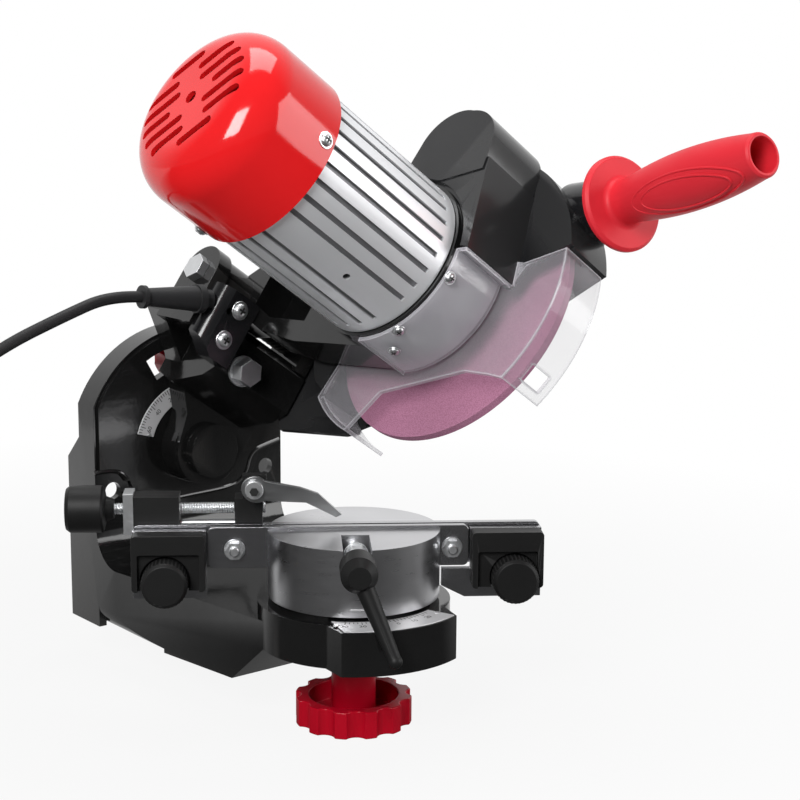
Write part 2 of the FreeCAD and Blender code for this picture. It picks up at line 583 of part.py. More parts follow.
def cable_cover():
    """Cover of the cable entry on the near end of the bracket, with its two screws."""
    front, r = -64.0, 9.0
    plan = [(-44.5, -52.0), (-44.5, front), (-70 + r, front),
            arc((-70 + 0.293 * r, front + 0.293 * r), (-70, front + r)), (-70, -52.0)]
    cover = slab_z(plan, 34, 72)
    bevel = slab_y([(-75, 30), (-52, 30), (-75, 46)], -70, -50)
    made = cover.cut(bevel)
    screws = ((-60.4, 60.4, "upper"), (-54.8, 43.7, "lower"))
    for x, z, name in screws:
        made = made.cut(bar(2.0, V(x, -70, z), V(x, -52, z)))
    solid(made, "cable_cover", TILT)
    for x, z, name in screws:
        shank = rod("2", "11.8", V(x, front, z), V(0, 1, 0))
        head = rod("4.4", "2.6", V(x, front, z), V(0, -1, 0))
        keep(fuse(shank, head), "cover_screw_" + name, TILT)


def tilt_clamp():
    """Clamping stud in the tilt slot and the red knob behind the back plate."""
    stud = rod("Dims.stud_r", "40", V(STUD.x, -15, STUD.z), V(0, 1, 0))
    washer = rod("9", "2", V(STUD.x, dim("wall") + 0.2, STUD.z), V(0, 1, 0))
    keep(fuse(stud, washer), "tilt_stud", TILT)
    body = new_body("tilt_knob")
    r = dim("tilt_knob_r")
    profile = [(0, 0), (9, 0), (9, 11), (r - 1.5, 11), (r, 12.5), (r, 21), (r - 2, 22.8), (0, 22.8)]
    turn(body, sketch(body, "XZ_Plane", 0, profile))
    scallop = pocket(body, sketch(body, "XY_Plane", 24, ring(r + 2.2, 0, 4.4)), "13.5")
    polar(body, scallop, "Z_Axis", 8)
    pocket(body, sketch(body, "XY_Plane", 0, ring(0, 0, dim("stud_r") + dim("fit"))), "18.8", back=True)
    keep(body, "tilt_knob", TILT.multiply(aim(V(STUD.x, dim("wall") + 2.4, STUD.z), V(0, 1, 0))))


# ---------------------------------------------------------------- arm, motor and disc

def arm_casting():
    """Swinging arm: hinge barrel, open-backed beam and the motor's front flange."""
    hinge = along(dim("barrel_hinge_r"), 10.4 - dim("pin_left"), -21.6, HINGE)
    y, z = HINGE
    front, back = -20.0, -dim("can_front") + 0.5
    round_r = FACE_R
    beam_path = [(y, z + 12.9), (-74, 124), (-112, 147), (MOTOR[0], MOTOR[1] + round_r),
                 arc((MOTOR[0] - round_r, MOTOR[1]), (MOTOR[0], MOTOR[1] - round_r)),
                 (-104, 58), (-72, 60), (-52, 66), (y, z - 12.9)]
    beam_back = -43.5
    drum = along(round_r, back, front, MOTOR)
    beam = slab_x(beam_path, beam_back, front).fuse(drum)
    hollow_path = [(-56, 92), (-84, 122), (-104, 130), (-104, 70), (-74, 68), (-56, 74)]
    hollow = slab_x(hollow_path, beam_back - 1, front - 4)
    cup = along(30, back - 6, front - 8, MOTOR).cut(along(dim("front_bearing_r") + 4, -41, front, MOTOR))
    made = beam.cut(hollow).cut(cup).fuse(hinge)
    made = made.cut(along(dim("front_bearing_r"), -80, 0, MOTOR))
    made = made.cut(along(dim("pin_r") + dim("fit"), -90, 40, HINGE))
    bore = dim("stator_r") - dim("can_wall")
    rim = along(bore, back - 5, back + 1, MOTOR).cut(along(30, back - 6, back + 2, MOTOR))
    solid(made.fuse(rim).removeSplitter(), "arm_casting", TILT)


def motor_rod(radius, length, x):
    """Bound cylinder about the spindle, from x along +X."""
    return rod(radius, length, V(x, MOTOR[0], MOTOR[1]), V(1, 0, 0))


def motor_tube(radius, bore, length, x):
    return cut(motor_rod(radius, length, x), motor_rod(bore, length + " + 2", x - 1))


def bearings():
    """Ball bearings of the spindle and the slotted shield that holds the rear one."""
    running = "Dims.shaft_r + Dims.fit"
    keep(motor_tube("Dims.front_bearing_r", running, "11", -36), "front_bearing", TILT)
    shield_x = 2 - dim("can_back")
    keep(motor_tube("Dims.rear_bearing_r", running, "Dims.shield_t", shield_x), "rear_bearing", TILT)
    body = new_body("rear_shield")
    pad(body, sketch(body, "XY_Plane", 0, ring(0, 0, dim("stator_r") - dim("can_wall")),
                     ring(0, 0, dim("rear_bearing_r"))), "Dims.shield_t")
    slot = pocket(body, sketch(body, "XY_Plane", dim("shield_t") + 1, ring(24, 0, 6.5)), "Dims.shield_t + 2")
    polar(body, slot, "Z_Axis", 6)
    keep(body, "rear_shield", TILT.multiply(aim(V(shield_x, MOTOR[0], MOTOR[1]), V(1, 0, 0))))


def motor_can():
    """Extruded barrel: lengthwise grooves behind a plain band, one left out for a panel with a hole."""
    body = new_body("motor_can")
    r = dim("stator_r")
    pad(body, sketch(body, "XY_Plane", 0, ring(0, 0, r), ring(0, 0, r - dim("can_wall"))),
        "Dims.can_back - Dims.can_front")
    half, deep = dim("rib_gap") / 2, dim("rib_depth")
    step = 360.0 / dim("rib_count")
    a = math.radians(step)
    corners = [(r - deep, -half), (r + 1, -half), (r + 1, half), (r - deep, half)]
    groove = [(x * math.cos(a) - y * math.sin(a), x * math.sin(a) + y * math.cos(a)) for x, y in corners]
    cutout = pocket(body, sketch(body, "XY_Plane", 6, groove), "Dims.can_back - Dims.can_front", back=True)
    polar(body, cutout, "Z_Axis", dim("rib_count") - 1, 360.0 - 2 * step)
    hole = sketch(body, "YZ_Plane", r + 1, ring(0, dim("panel_hole_at"), dim("panel_hole_r")))
    pocket(body, hole, "Dims.can_wall + 2")
    turned = FreeCAD.Placement(V(), FreeCAD.Rotation(V(0, 0, 1), -135.6))
    place = TILT.multiply(aim(V(-dim("can_front"), MOTOR[0], MOTOR[1]), V(-1, 0, 0)))
    keep(body, "motor_can", place.multiply(turned))


def motor_cap():
    """Rounded fan cover with twelve staggered air slots and a centre hole."""
    body = new_body("motor_cap")
    r, wall, round_r = CAP_R, dim("cap_wall"), dim("cap_round")
    length = dim("cap_back") - dim("can_back")
    c = 0.293
    ri = round_r - wall
    outer = [(r, 0), (r, length - round_r),
             arc((r - c * round_r, length - c * round_r), (r - round_r, length)),
             (0, length), (0, length - wall)]
    inner = [(r - round_r, length - wall),
             arc((r - wall - c * ri, length - wall - c * ri), (r - wall, length - round_r)), (r - wall, 0)]
    turn(body, sketch(body, "XZ_Plane", 0, outer + inner))
    pitch, half, reach = dim("vent_pitch"), dim("vent_w") / 2, dim("vent_r")
    pieces = [ring(0, 0, 3.2)]
    for row in range(-3, 4):
        v = row * pitch
        far = math.sqrt(reach ** 2 - v ** 2)
        near = {0: 13.0, 1: 6.0, 2: 6.0}.get(abs(row))
        spans = [(near, far), (-far, -near)] if near else [(-10.5, 10.5)]
        for low, high in spans:
            pieces.append([(low + half, v - half), (high - half, v - half),
                           arc((high, v), (high - half, v + half)), (low + half, v + half),
                           arc((low, v), (low + half, v - half))])
    pocket(body, sketch(body, "XY_Plane", length + 1, *pieces), "Dims.cap_wall + 2")
    turned = FreeCAD.Placement(V(), FreeCAD.Rotation(V(0, 0, 1), 135))
    place = TILT.multiply(aim(V(-dim("can_back"), MOTOR[0], MOTOR[1]), V(-1, 0, 0)))
    keep(body, "motor_cap", place.multiply(turned))


def motor_inside():
    """Stator and rotor stacks on the spindle, and the fan behind the rear shield."""
    core = dim("core_at") - dim("can_back")
    stator = motor_tube("Dims.stator_r - Dims.can_wall", "Dims.rotor_r + 0.6", "Dims.core_len", core)
    keep(stator, "stator", TILT)
    keep(motor_tube("Dims.rotor_r", "Dims.shaft_r", "Dims.core_len", core), "rotor", TILT)
    shaft = motor_rod("Dims.shaft_r", "Dims.can_back - 4 + Dims.shaft_end", 4 - dim("can_back"))
    keep(shaft, "spindle_shaft", TILT.multiply(shaft.Placement))
    hub_x = 11 - dim("can_back")
    hub = along(9, hub_x, hub_x + 10, MOTOR)
    for k in range(8):
        blade = Part.makeBox(9, dim("fan_r") - 9, 2, V(hub_x + 0.5, 7, -1))
        blade.rotate(V(0, 0, 0), V(1, 0, 0), 45 * k)
        blade.translate(V(0, MOTOR[0], MOTOR[1]))
        hub = hub.fuse(blade)
    disc = along(dim("fan_r"), hub_x + 8.5, hub_x + 10.5, MOTOR)
    fan = hub.fuse(disc).cut(along(dim("shaft_r"), hub_x - 5, hub_x + 20, MOTOR))
    solid(fan.removeSplitter(), "cooling_fan", TILT)


def grinding_set():
    """Disc between its two flanges, held by a nut on the end of the spindle."""
    half, t, r = dim("disc_t") / 2, dim("flange_t"), dim("flange_r")
    keep(motor_tube("Dims.disc_r", "Dims.bore_r", "Dims.disc_t", -half), "grinding_disc", TILT)
    inner = along(r, -half - t, -half, MOTOR).fuse(along(dim("bore_r"), -half, half - 0.5, MOTOR))
    inner = inner.fuse(along(10, -14.5, -half - t, MOTOR)).cut(along(dim("shaft_r"), -20, 20, MOTOR))
    solid(inner.removeSplitter(), "inner_flange", TILT)
    keep(motor_tube("Dims.flange_r", "Dims.shaft_r", "Dims.flange_t", half), "outer_flange", TILT)
    nut = hexagon("19", "4.4", V(half + t, MOTOR[0], MOTOR[1]), V(1, 0, 0))
    keep(cut(nut, motor_rod("Dims.shaft_r", "10", half + t - 2)), "disc_nut", TILT)


def handle_seat():
    """Centre of the handle's disc, beyond the rim of the housing."""
    a, reach = math.radians(dim("seat_angle")), dim("house_r") + dim("seat_out")
    return V(0.5, MOTOR[0] - reach * math.cos(a), MOTOR[1] + reach * math.sin(a))


def handle_axis():
    up, aside = math.radians(dim("handle_angle")), math.radians(dim("handle_aside"))
    return V(-math.sin(aside), -math.cos(aside) * math.cos(up), math.cos(aside) * math.sin(up))


def neck_outline(gap):
    """Upright neck between the motor's flange and the switch box, grown by gap on its open side."""
    y, z = MOTOR
    return [(y - 50.4 - gap, z + 12.5 - gap), (y - 35.2 - gap, z + 54.5 - gap), (y - 33, z + 62),
            (y + 12, z + 62), (y + 20, z + 54.5), (y + 21, z + 45), (y, z + 45), (y, z + 12.5 - gap)]


def box_outline(inset):
    """Rounded outline of the switch box above the motor's flange."""
    y, z = MOTOR
    return [(y - 33.1 + inset, z + 55 + inset), (y - 29.3 + inset, z + 73),
            arc((y - 21.8 + inset, z + 83 - inset), (y - 5, z + 87.4 - inset)),
            arc((y + 12.5 - inset, z + 82 - inset), (y + 20.4 - inset, z + 65)),
            (y + 22 - inset, z + 45.5 + inset), (y - 7.2, z + 46 + inset)]


def wheel_housing():
    """Black guard round the disc's top and far side, with the neck, switch box and handle boss."""
    half, near, wall, r = dim("house_half"), dim("house_near"), dim("house_wall"), dim("house_r")
    front = dim("box_near")
    shell = along(r, -near, half, MOTOR)
    neck = slab_x(neck_outline(0), dim("box_step") - front, 1 - near)
    box = slab_x(box_outline(0), -front, 1 - near)
    room = slab_x(box_outline(wall), wall - front, -near - wall)
    axis = handle_axis()
    boss = Part.makeCone(18, 14, 28, handle_seat() - axis * 28, axis)
    y, z = HINGE
    web = slab_x([(y, z + 14), (-76, 122), (-112, 132), (-112, 36), (-104, 33), (-50, 26), (-44, 32),
                  (y + 12, z - 8), (y + 12, z + 6)], half, half + 3)
    made = shell.fuse([neck, box, boss, web])
    made = made.cut(along(r - wall, wall - near, half - wall, MOTOR)).cut(room)
    near_low = slab_x([(-262, 163), (-229, 145), (-208.9, 131.8), (-205, 118.5), (-112, 118.5), (-112, 10),
                       (-262, 10)], -near - 1, -near + wall)
    far_low = slab_x([(-262, 163), (-231, 145), (-212, 126), (-204, 104), (-190, 80), (-165, 60), (-130, 46),
                      (-113, 36), (-113, 10), (-262, 10)], -near - 1, half + 1)
    rear_low = slab_x([(-120, 40), (-96, 50), (-60, 10), (-120, 0)], -near - 1, half - 0.01)
    made = made.cut(near_low).cut(far_low).cut(rear_low)
    made = made.cut(along(dim("pin_r") + dim("fit"), -90, 40, HINGE))
    made = made.cut(along(FACE_R + dim("neck_fit"), -60, wall - near + 0.01, MOTOR))
    made = made.cut(along(FACE_R + dim("neck_gap"), -60, 3 - front, MOTOR))
    made = made.fuse(switch_area(13, 9, half - 6, half - 1))
    made = made.cut(switch_area(10.4, 6.4, half - 3.6, half + 1))
    solid(made.removeSplitter(), "wheel_housing", TILT)


def clear_guard():
    """Transparent cover: near face, front band, rear lip and the collar round the motor's flange."""
    r, t, near = dim("clear_r"), dim("clear_wall"), -dim("house_near") - dim("clear_wall")
    far = dim("house_half") - dim("house_wall") - 0.3
    centre = (MOTOR[0], MOTOR[1])

    def at(angle, radius=r):
        a = math.radians(angle)
        return (centre[0] - radius * math.cos(a), centre[1] + radius * math.sin(a))

    def wedge(start, finish):
        return slab_x([centre, at(start, 2 * r), at(finish, 2 * r)], -60, 60)

    face_path = [(-113.5, 60), (-113.5, 131), (-154, 134), (-204.3, 131.8), (-208.9, 131.8), at(26),
                 arc(at(0), at(-26)), (-221.6, 71.2), (-205.6, 70.4), (-155, 50.2), at(-100),
                 arc(at(-113), at(-125))]
    face_plate = slab_x(face_path, near, near + t)
    band = along(r, near, far, MOTOR).cut(along(r - t, near - 1, far, MOTOR))
    made = face_plate.fuse([band.common(wedge(26, -26)), band.common(wedge(-100, -125))])
    inner = FACE_R + dim("neck_fit")
    collar = along(inner + t, 2 - dim("can_front"), near + t, MOTOR).cut(along(inner, -60, near, MOTOR))
    lip = along(inner + 7, 2 - dim("can_front"), near + t, MOTOR).cut(along(inner, -60, near, MOTOR))
    made = made.fuse([collar.common(wedge(12, -20)), collar.common(wedge(-20, -80)),
                      lip.common(wedge(14, 11.5))])
    neck = slab_x(neck_outline(dim("neck_fit")), -60, near + t).cut(along(inner, -60, 0, MOTOR))
    made = made.cut(neck).cut(along(15.0, -60, 0, MOTOR))
    port = Part.makeBox(14, 30, 9, V(-8, centre[0] - r - 11.8, centre[1] - 31))
    solid(made.cut(port).removeSplitter(), "clear_guard", TILT)


def switch_area(y_half, z_half, low, high):
    """Block centred on the switch, from low to high through the far wall of the housing."""
    y, z = -dim("switch_y"), dim("switch_z")
    return slab_x([(y + y_half, z - z_half), (y + y_half, z + z_half), (y - y_half, z + z_half),
                   (y - y_half, z - z_half)], low, high)


def switch():
    """Rocker in a bezel on the far face of the housing."""
    y, z = -dim("switch_y"), dim("switch_z")
    x = dim("house_half")
    window = switch_area(10.4, 6.4, x - 1, x + 3)
    solid(switch_area(13, 9, x, x + 2).cut(window), "switch_bezel", TILT)
    rocker = [(x + 0.5, -9.6), (x + 4.2, -9.6), (x + 2.6, 0), (x + 2.0, 9.6), (x + 0.5, 9.6)]
    made = face(rocker).extrude(V(0, 0, 12))
    made.translate(V(0, y, z - 6))
    solid(made, "switch_rocker", TILT)


def handle():
    body = new_body("handle")
    length, neck, grip = dim("handle_len"), dim("neck_r"), dim("grip_r")
    disc, t = dim("handle_disc_r"), dim("handle_disc_t")
    bore, deep = dim("grip_bore_r"), dim("grip_bore_deep")
    end = dim("grip_end_r")
    profile = [(0, 0), (disc - 1.5, 0), (disc, 1.5), (disc, t - 1.5), (disc - 1.5, t), (neck + 3, t),
               arc((neck + 0.9, t + 1.0), (neck, t + 3)), (neck, t + 8),
               arc((grip, 0.55 * length), (end + 0.6, length - 5)), (end + 0.2, length - 1.2),
               (end - 0.8, length), (bore, length), (bore, length - deep), (0, length - deep)]
    turn(body, sketch(body, "XZ_Plane", 0, profile))
    keep(body, "handle", TILT.multiply(aim(handle_seat(), handle_axis())))


# ---------------------------------------------------------------- mains lead

def routed(points, radius):
    """Tube of straight runs joined by the largest arcs that its runs allow."""
    edges = []
    here = points[0]
    for before, corner, after in zip(points, points[1:], points[2:]):
        a, b = corner - before, after - corner
        turned = a.getAngle(b)
        shorter = min(a.Length, b.Length)
        bend = 0.45 * shorter / math.tan(turned / 2)
        print("cord bend radius %.0f" % bend)
        reach = 0.45 * shorter
        ua, ub = V(a).normalize(), V(b).normalize()
        start, end = corner - ua * reach, corner + ub * reach
        inward = V(ub - ua).normalize()
        middle = corner + inward * (bend / math.cos(turned / 2) - bend)
        edges.append(Part.LineSegment(here, start).toShape())
        edges.append(Part.Arc(start, middle, end).toShape())
        here = end
    edges.append(Part.LineSegment(here, points[-1]).toShape())
    wire = Part.Wire(edges)
    profile = Part.Wire([Part.Circle(points[0], points[1] - points[0], radius).toShape()])
    tube = wire.makePipeShell([profile], True, False)
    plain = math.pi * radius ** 2 * wire.Length
    print("cord length %.0f mm, volume ratio %.4f" % (wire.Length, tube.Volume / plain))
    return tube


def mains_lead():
    """Strain relief, lead down to the bench level, coiled spare length and plug."""
    floor = -dim("lock_top") - dim("lock_t")
    r = dim("cord_r")
    mouth, out = V(-25.5, -57, 90.9), V(-0.9937, 0.0502, 0.1004)
    tip = mouth + out * 38
    collar = Part.makeCylinder(7.6, 4, mouth + out * 2, out)
    taper = Part.makeCone(7.0, 4.4, 36, mouth + out * 2, out)
    end_ring = Part.makeCylinder(6.0, 2.4, tip - out * 2.4, out)
    root = Part.makeCylinder(5.0, 8, mouth - out * 3, out)
    relief = collar.fuse([taper, end_ring, root])
    for label in ("cable_cover", "tilt_bracket"):
        carrier = [p for p in parts if p.Label == label][0].Shape.copy()
        carrier.translate(V(0, 0, -dim("tilt_axis_z")))
        relief = relief.cut(carrier)
    solid(relief.removeSplitter(), "strain_relief", BASE)
    low = floor + r
    centre = V(-292, -6, 0)
    edge = dim("coil_out") - r
    route = [tip, tip + out * 18, V(-106, -54, 88.6), V(-141.2, -52, 75.2), V(-180, -50, 52),
             V(-203, -47, 18), V(-207, -43, -23), V(-217, -40, -61), V(-236, -39, -92), V(-265, -42, -111),
             V(centre.x - 9, centre.y - edge, low)]
    tube = routed(route, r)
    solid(tube, "mains_lead", BASE)
    ring_out = Part.makeCylinder(dim("coil_out"), dim("coil_z"), V(centre.x, centre.y, floor))
    ring_in = Part.makeCylinder(dim("coil_in"), dim("coil_z") + 2, V(centre.x, centre.y, floor - 1))
    plug_z = floor + 7.5
    tail = V(centre.x - 26, centre.y + edge, plug_z)
    leaving = bar(r, tail, V(centre.x - 1, tail.y, plug_z))
    coil = ring_out.fuse(leaving).cut(ring_in).cut(tube)
    solid(coil.removeSplitter(), "lead_coil", BASE)
    body = Part.makeBox(34, 18, 15, V(tail.x - 48, tail.y - 9, floor))
    taper = Part.makeCone(4.5, 7.0, 14, tail, V(-1, 0, 0))
    solid(body.fuse(taper).removeSplitter(), "mains_plug", BASE)
    front = V(tail.x - 48, tail.y, plug_z)
    pins = [Part.makeCylinder(2, 19, front + V(0, side * 6.5, 0), V(-1, 0, 0)) for side in (-1, 1)]
    bridge = Part.makeBox(0.6, 16, 5, front + V(-0.6, -8, -2.5))
    solid(bridge.fuse(pins).removeSplitter(), "plug_pins", BASE)


base_casting()
scales()
tilt_pivot()
turntable()
rails()
guide_ends()
turntable_bolt()
lock_knob()
clamp()
chain_stop()
tilt_bracket()
hinge_parts()
depth_screw()
cable_cover()
tilt_clamp()
arm_casting()
bearings()
motor_can()
motor_cap()
motor_inside()
grinding_set()
wheel_housing()
clear_guard()
switch()
handle()
mains_lead()
doc.recompute()

# ---------------------------------------------------------------- checks and export
for obj in doc.Objects:
    if "Invalid" in obj.State or "Error" in obj.State:
        raise RuntimeError("object %s (%s) is %s" % (obj.Name, obj.Label, obj.State))
for part in parts:
    if part.Shape.isNull() or not part.Shape.isValid():
        raise RuntimeError("sub-part %s has no valid shape" % part.Label)
os.makedirs("parts", exist_ok=True)
for part in parts:
    part.Shape.exportStep("parts/%s.step" % part.Label)
    print("%-20s %2d solids %10.0f mm3" % (part.Label, len(part.Shape.Solids), part.Shape.Volume))
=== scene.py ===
import math

import bmesh
import bpy
from mathutils import Matrix, Vector


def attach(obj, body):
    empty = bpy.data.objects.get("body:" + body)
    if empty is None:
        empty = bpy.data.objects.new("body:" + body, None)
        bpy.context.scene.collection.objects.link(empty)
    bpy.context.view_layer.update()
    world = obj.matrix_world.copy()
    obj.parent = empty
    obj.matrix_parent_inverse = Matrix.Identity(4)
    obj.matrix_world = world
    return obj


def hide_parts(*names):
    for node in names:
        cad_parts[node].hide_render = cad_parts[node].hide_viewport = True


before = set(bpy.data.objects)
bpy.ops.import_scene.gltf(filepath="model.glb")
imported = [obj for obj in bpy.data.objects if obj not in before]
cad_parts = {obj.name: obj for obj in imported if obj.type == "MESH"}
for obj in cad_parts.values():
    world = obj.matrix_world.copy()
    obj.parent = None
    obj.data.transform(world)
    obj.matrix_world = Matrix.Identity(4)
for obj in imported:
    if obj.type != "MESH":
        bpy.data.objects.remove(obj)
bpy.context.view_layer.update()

# ---------------------------------------------------------------- places
# Pieces are drawn in millimetres in the space of the group they belong to.

MM = Matrix.Scale(0.001, 4)
TILT = math.radians(35)
SWIVEL = math.radians(-35)
BASE = Matrix.Translation((0, 0, 0.020)) @ MM
HEAD = Matrix.Translation((0, 0, 0.020)) @ Matrix.Rotation(TILT, 4, "Y") @ MM
VISE = Matrix.Translation((0, -0.1525, 0.020)) @ Matrix.Rotation(SWIVEL, 4, "Z") @ MM
SPINDLE = (-158.0, 107.0)
GRIP_R = 11.35
STOP_PITCH = 1.2566
FLOOR_Z = -0.0985


def aimed(place, point, direction):
    """Space whose Z axis points along direction from a point, inside a group's space."""
    turn = Vector(direction).to_track_quat("Z", "Y").to_matrix().to_4x4()
    return place @ Matrix.Translation(point) @ turn


# ---------------------------------------------------------------- materials

def node(tree, kind, **values):
    made = tree.nodes.new(kind)
    for name, value in values.items():
        if name in made.inputs:
            made.inputs[name].default_value = value
        else:
            setattr(made, name, value)
    return made


def coords(tree, stretch=(1, 1, 1)):
    place = node(tree, "ShaderNodeTexCoord")
    mapping = node(tree, "ShaderNodeMapping")
    mapping.inputs["Scale"].default_value = stretch
    tree.links.new(place.outputs["Object"], mapping.inputs["Vector"])
    return mapping.outputs["Vector"]


def noise(tree, vector, scale, detail=3.0, rough=0.5):
    made = node(tree, "ShaderNodeTexNoise", Scale=scale, Detail=detail, Roughness=rough)
    tree.links.new(vector, made.inputs["Vector"])
    return made.outputs["Fac"]


def ramp(tree, source, low, high, start=0.0, end=1.0):
    made = node(tree, "ShaderNodeMapRange")
    for name, value in (("From Min", start), ("From Max", end), ("To Min", low), ("To Max", high)):
        made.inputs[name].default_value = value
    tree.links.new(source, made.inputs["Value"])
    return made.outputs["Result"]


def tint(tree, source, first, second):
    made = node(tree, "ShaderNodeValToRGB")
    made.color_ramp.elements[0].position = 0.32
    made.color_ramp.elements[1].position = 0.68
    made.color_ramp.elements[0].color = (*first, 1)
    made.color_ramp.elements[1].color = (*second, 1)
    tree.links.new(source, made.inputs["Fac"])
    return made.outputs["Color"]


def bumped(tree, height, strength, distance, under=None):
    made = node(tree, "ShaderNodeBump", Strength=strength, Distance=distance)
    tree.links.new(height, made.inputs["Height"])
    if under is not None:
        tree.links.new(under, made.inputs["Normal"])
    return made.outputs["Normal"]


def either(tree, *factors):
    """Largest of several factors."""
    total = factors[0]
    for factor in factors[1:]:
        both = node(tree, "ShaderNodeMath", operation="MAXIMUM")
        tree.links.new(total, both.inputs[0])
        tree.links.new(factor, both.inputs[1])
        total = both.outputs[0]
    return total


def times(tree, factor, other):
    made = node(tree, "ShaderNodeMath", operation="MULTIPLY")
    tree.links.new(factor, made.inputs[0])
    tree.links.new(other, made.inputs[1])
    return made.outputs[0]


def finish_of(name, first, second, rough, metal=0.0, grain=900.0, bump=0.1, depth=0.0001, cloud=14.0,
              stretch=(1, 1, 1), edge_lift=0.0, edge_colour=(0.3, 0.3, 0.3), **constants):
    """Surface with cloudy colour, uneven gloss, a fine grain and a lighter colour along its sharp edges."""
    made = bpy.data.materials.new(name)
    made.use_nodes = True
    tree = made.node_tree
    shader = tree.nodes["Principled BSDF"]
    shader.inputs["Metallic"].default_value = metal
    for key, value in constants.items():
        shader.inputs[key.replace("_", " ")].default_value = value
    plain = coords(tree)
    drawn = coords(tree, stretch)
    colour = tint(tree, noise(tree, plain, cloud, 4), first, second)
    if edge_lift:
        # lighter colour on sharp edges, picked out by pointiness
        geometry = node(tree, "ShaderNodeNewGeometry")
        edge = ramp(tree, geometry.outputs["Pointiness"], 0.0, edge_lift, 0.53, 0.62)
        mix = node(tree, "ShaderNodeMix", data_type="RGBA")
        tree.links.new(edge, mix.inputs[0])
        tree.links.new(colour, mix.inputs[6])
        mix.inputs[7].default_value = (*edge_colour, 1)
        colour = mix.outputs[2]
    tree.links.new(colour, shader.inputs["Base Color"])
    tree.links.new(ramp(tree, noise(tree, drawn, cloud * 5, 5), *rough), shader.inputs["Roughness"])
    fine = bumped(tree, noise(tree, drawn, grain, 2), bump, depth)
    waves = bumped(tree, noise(tree, plain, cloud * 2, 2), bump, depth * 4, fine)
    tree.links.new(waves, shader.inputs["Normal"])
    return made


def to_head(tree):
    """Texture space of the tilting head, in metres, with X along the spindle."""
    place = node(tree, "ShaderNodeTexCoord")
    mapping = node(tree, "ShaderNodeMapping", vector_type="TEXTURE")
    mapping.inputs["Location"].default_value = (0, 0, 0.020)
    mapping.inputs["Rotation"].default_value = (0, TILT, 0)
    tree.links.new(place.outputs["Object"], mapping.inputs["Vector"])
    return mapping.outputs["Vector"]


def from_spindle(tree):
    """Distance from the axis of the spindle, in metres."""
    parts = node(tree, "ShaderNodeSeparateXYZ")
    tree.links.new(to_head(tree), parts.inputs["Vector"])
    flat = node(tree, "ShaderNodeCombineXYZ")
    for axis, centre in (("Y", SPINDLE[0] / 1000), ("Z", SPINDLE[1] / 1000)):
        shift = node(tree, "ShaderNodeMath", operation="SUBTRACT")
        tree.links.new(parts.outputs[axis], shift.inputs[0])
        shift.inputs[1].default_value = centre
        tree.links.new(shift.outputs[0], flat.inputs[axis])
    length = node(tree, "ShaderNodeVectorMath", operation="LENGTH")
    tree.links.new(flat.outputs["Vector"], length.inputs[0])
    return length.outputs["Value"]


def barrel_finish(name):
    """Extruded aluminium, bright on the ribs, with painted shade darkening the grooves between them."""
    made = finish_of(name, (0.80, 0.81, 0.83), (0.88, 0.89, 0.91), (0.38, 0.48), 0.62, grain=260, bump=0.08,
                     stretch=(1, 6, 6))
    tree = made.node_tree
    shader = tree.nodes["Principled BSDF"]
    colour = shader.inputs["Base Color"].links[0].from_socket
    # painted shade: dark grey below the ribs' outer radius, in the grooves between them
    mix = node(tree, "ShaderNodeMix", data_type="RGBA")
    tree.links.new(ramp(tree, from_spindle(tree), 0.0, 1.0, 0.0408, 0.0420), mix.inputs[0])
    mix.inputs[6].default_value = (0.22, 0.22, 0.23, 1)
    tree.links.new(colour, mix.inputs[7])
    tree.links.new(mix.outputs[2], shader.inputs["Base Color"])
    return made


def clear_finish(name):
    """Clear moulded plastic: see-through face on, with a painted highlight along its edges and a painted
    reflection at a slant, where its pale grey is denser.
    """
    made = bpy.data.materials.new(name)
    made.use_nodes = True
    tree = made.node_tree
    shader = tree.nodes["Principled BSDF"]
    shader.inputs["IOR"].default_value = 1.49
    shader.inputs["Specular IOR Level"].default_value = 1.0
    plain = coords(tree)
    tree.links.new(tint(tree, noise(tree, plain, 30, 3), (0.48, 0.46, 0.50), (0.58, 0.58, 0.61)),
                   shader.inputs["Base Color"])
    tree.links.new(ramp(tree, noise(tree, plain, 60, 3), 0.04, 0.10), shader.inputs["Roughness"])
    # painted reflection: the pale grey grows denser at a slant
    facing = node(tree, "ShaderNodeLayerWeight", Blend=0.35)
    painted_slant_reflection = ramp(tree, facing.outputs["Facing"], 0.13, 0.85, 0.25, 0.9)
    # painted highlight: the pale grey grows dense along the edges
    painted_edge_highlight_ao = node(tree, "ShaderNodeAmbientOcclusion", inside=True, samples=6, Distance=0.0016)
    edge = ramp(tree, painted_edge_highlight_ao.outputs["AO"], 0.75, 0.0, 0.55, 0.95)
    tree.links.new(either(tree, painted_slant_reflection, edge), shader.inputs["Alpha"])
    tree.links.new(bumped(tree, noise(tree, plain, 45, 2), 0.12, 0.0008), shader.inputs["Normal"])
    return made


def abrasive_finish(name):
    """Bonded abrasive: fine grains of lighter and darker mauve with open pores."""
    made = bpy.data.materials.new(name)
    made.use_nodes = True
    tree = made.node_tree
    shader = tree.nodes["Principled BSDF"]
    shader.inputs["Roughness"].default_value = 0.88
    shader.inputs["Specular IOR Level"].default_value = 0.25
    plain = coords(tree)
    cells = node(tree, "ShaderNodeTexVoronoi", Scale=1700.0)
    tree.links.new(plain, cells.inputs["Vector"])
    grain = tint(tree, cells.outputs["Distance"], (0.47, 0.21, 0.32), (0.36, 0.15, 0.24))
    cloudy = tint(tree, noise(tree, plain, 35, 4), (0.92, 0.92, 0.92), (1.0, 1.0, 1.0))
    mix = node(tree, "ShaderNodeMix", data_type="RGBA", blend_type="MULTIPLY")
    mix.inputs[0].default_value = 1.0
    tree.links.new(grain, mix.inputs[6])
    tree.links.new(cloudy, mix.inputs[7])
    tree.links.new(mix.outputs[2], shader.inputs["Base Color"])
    tree.links.new(bumped(tree, noise(tree, plain, 1500, 3), 0.5, 0.0003), shader.inputs["Normal"])
    return made


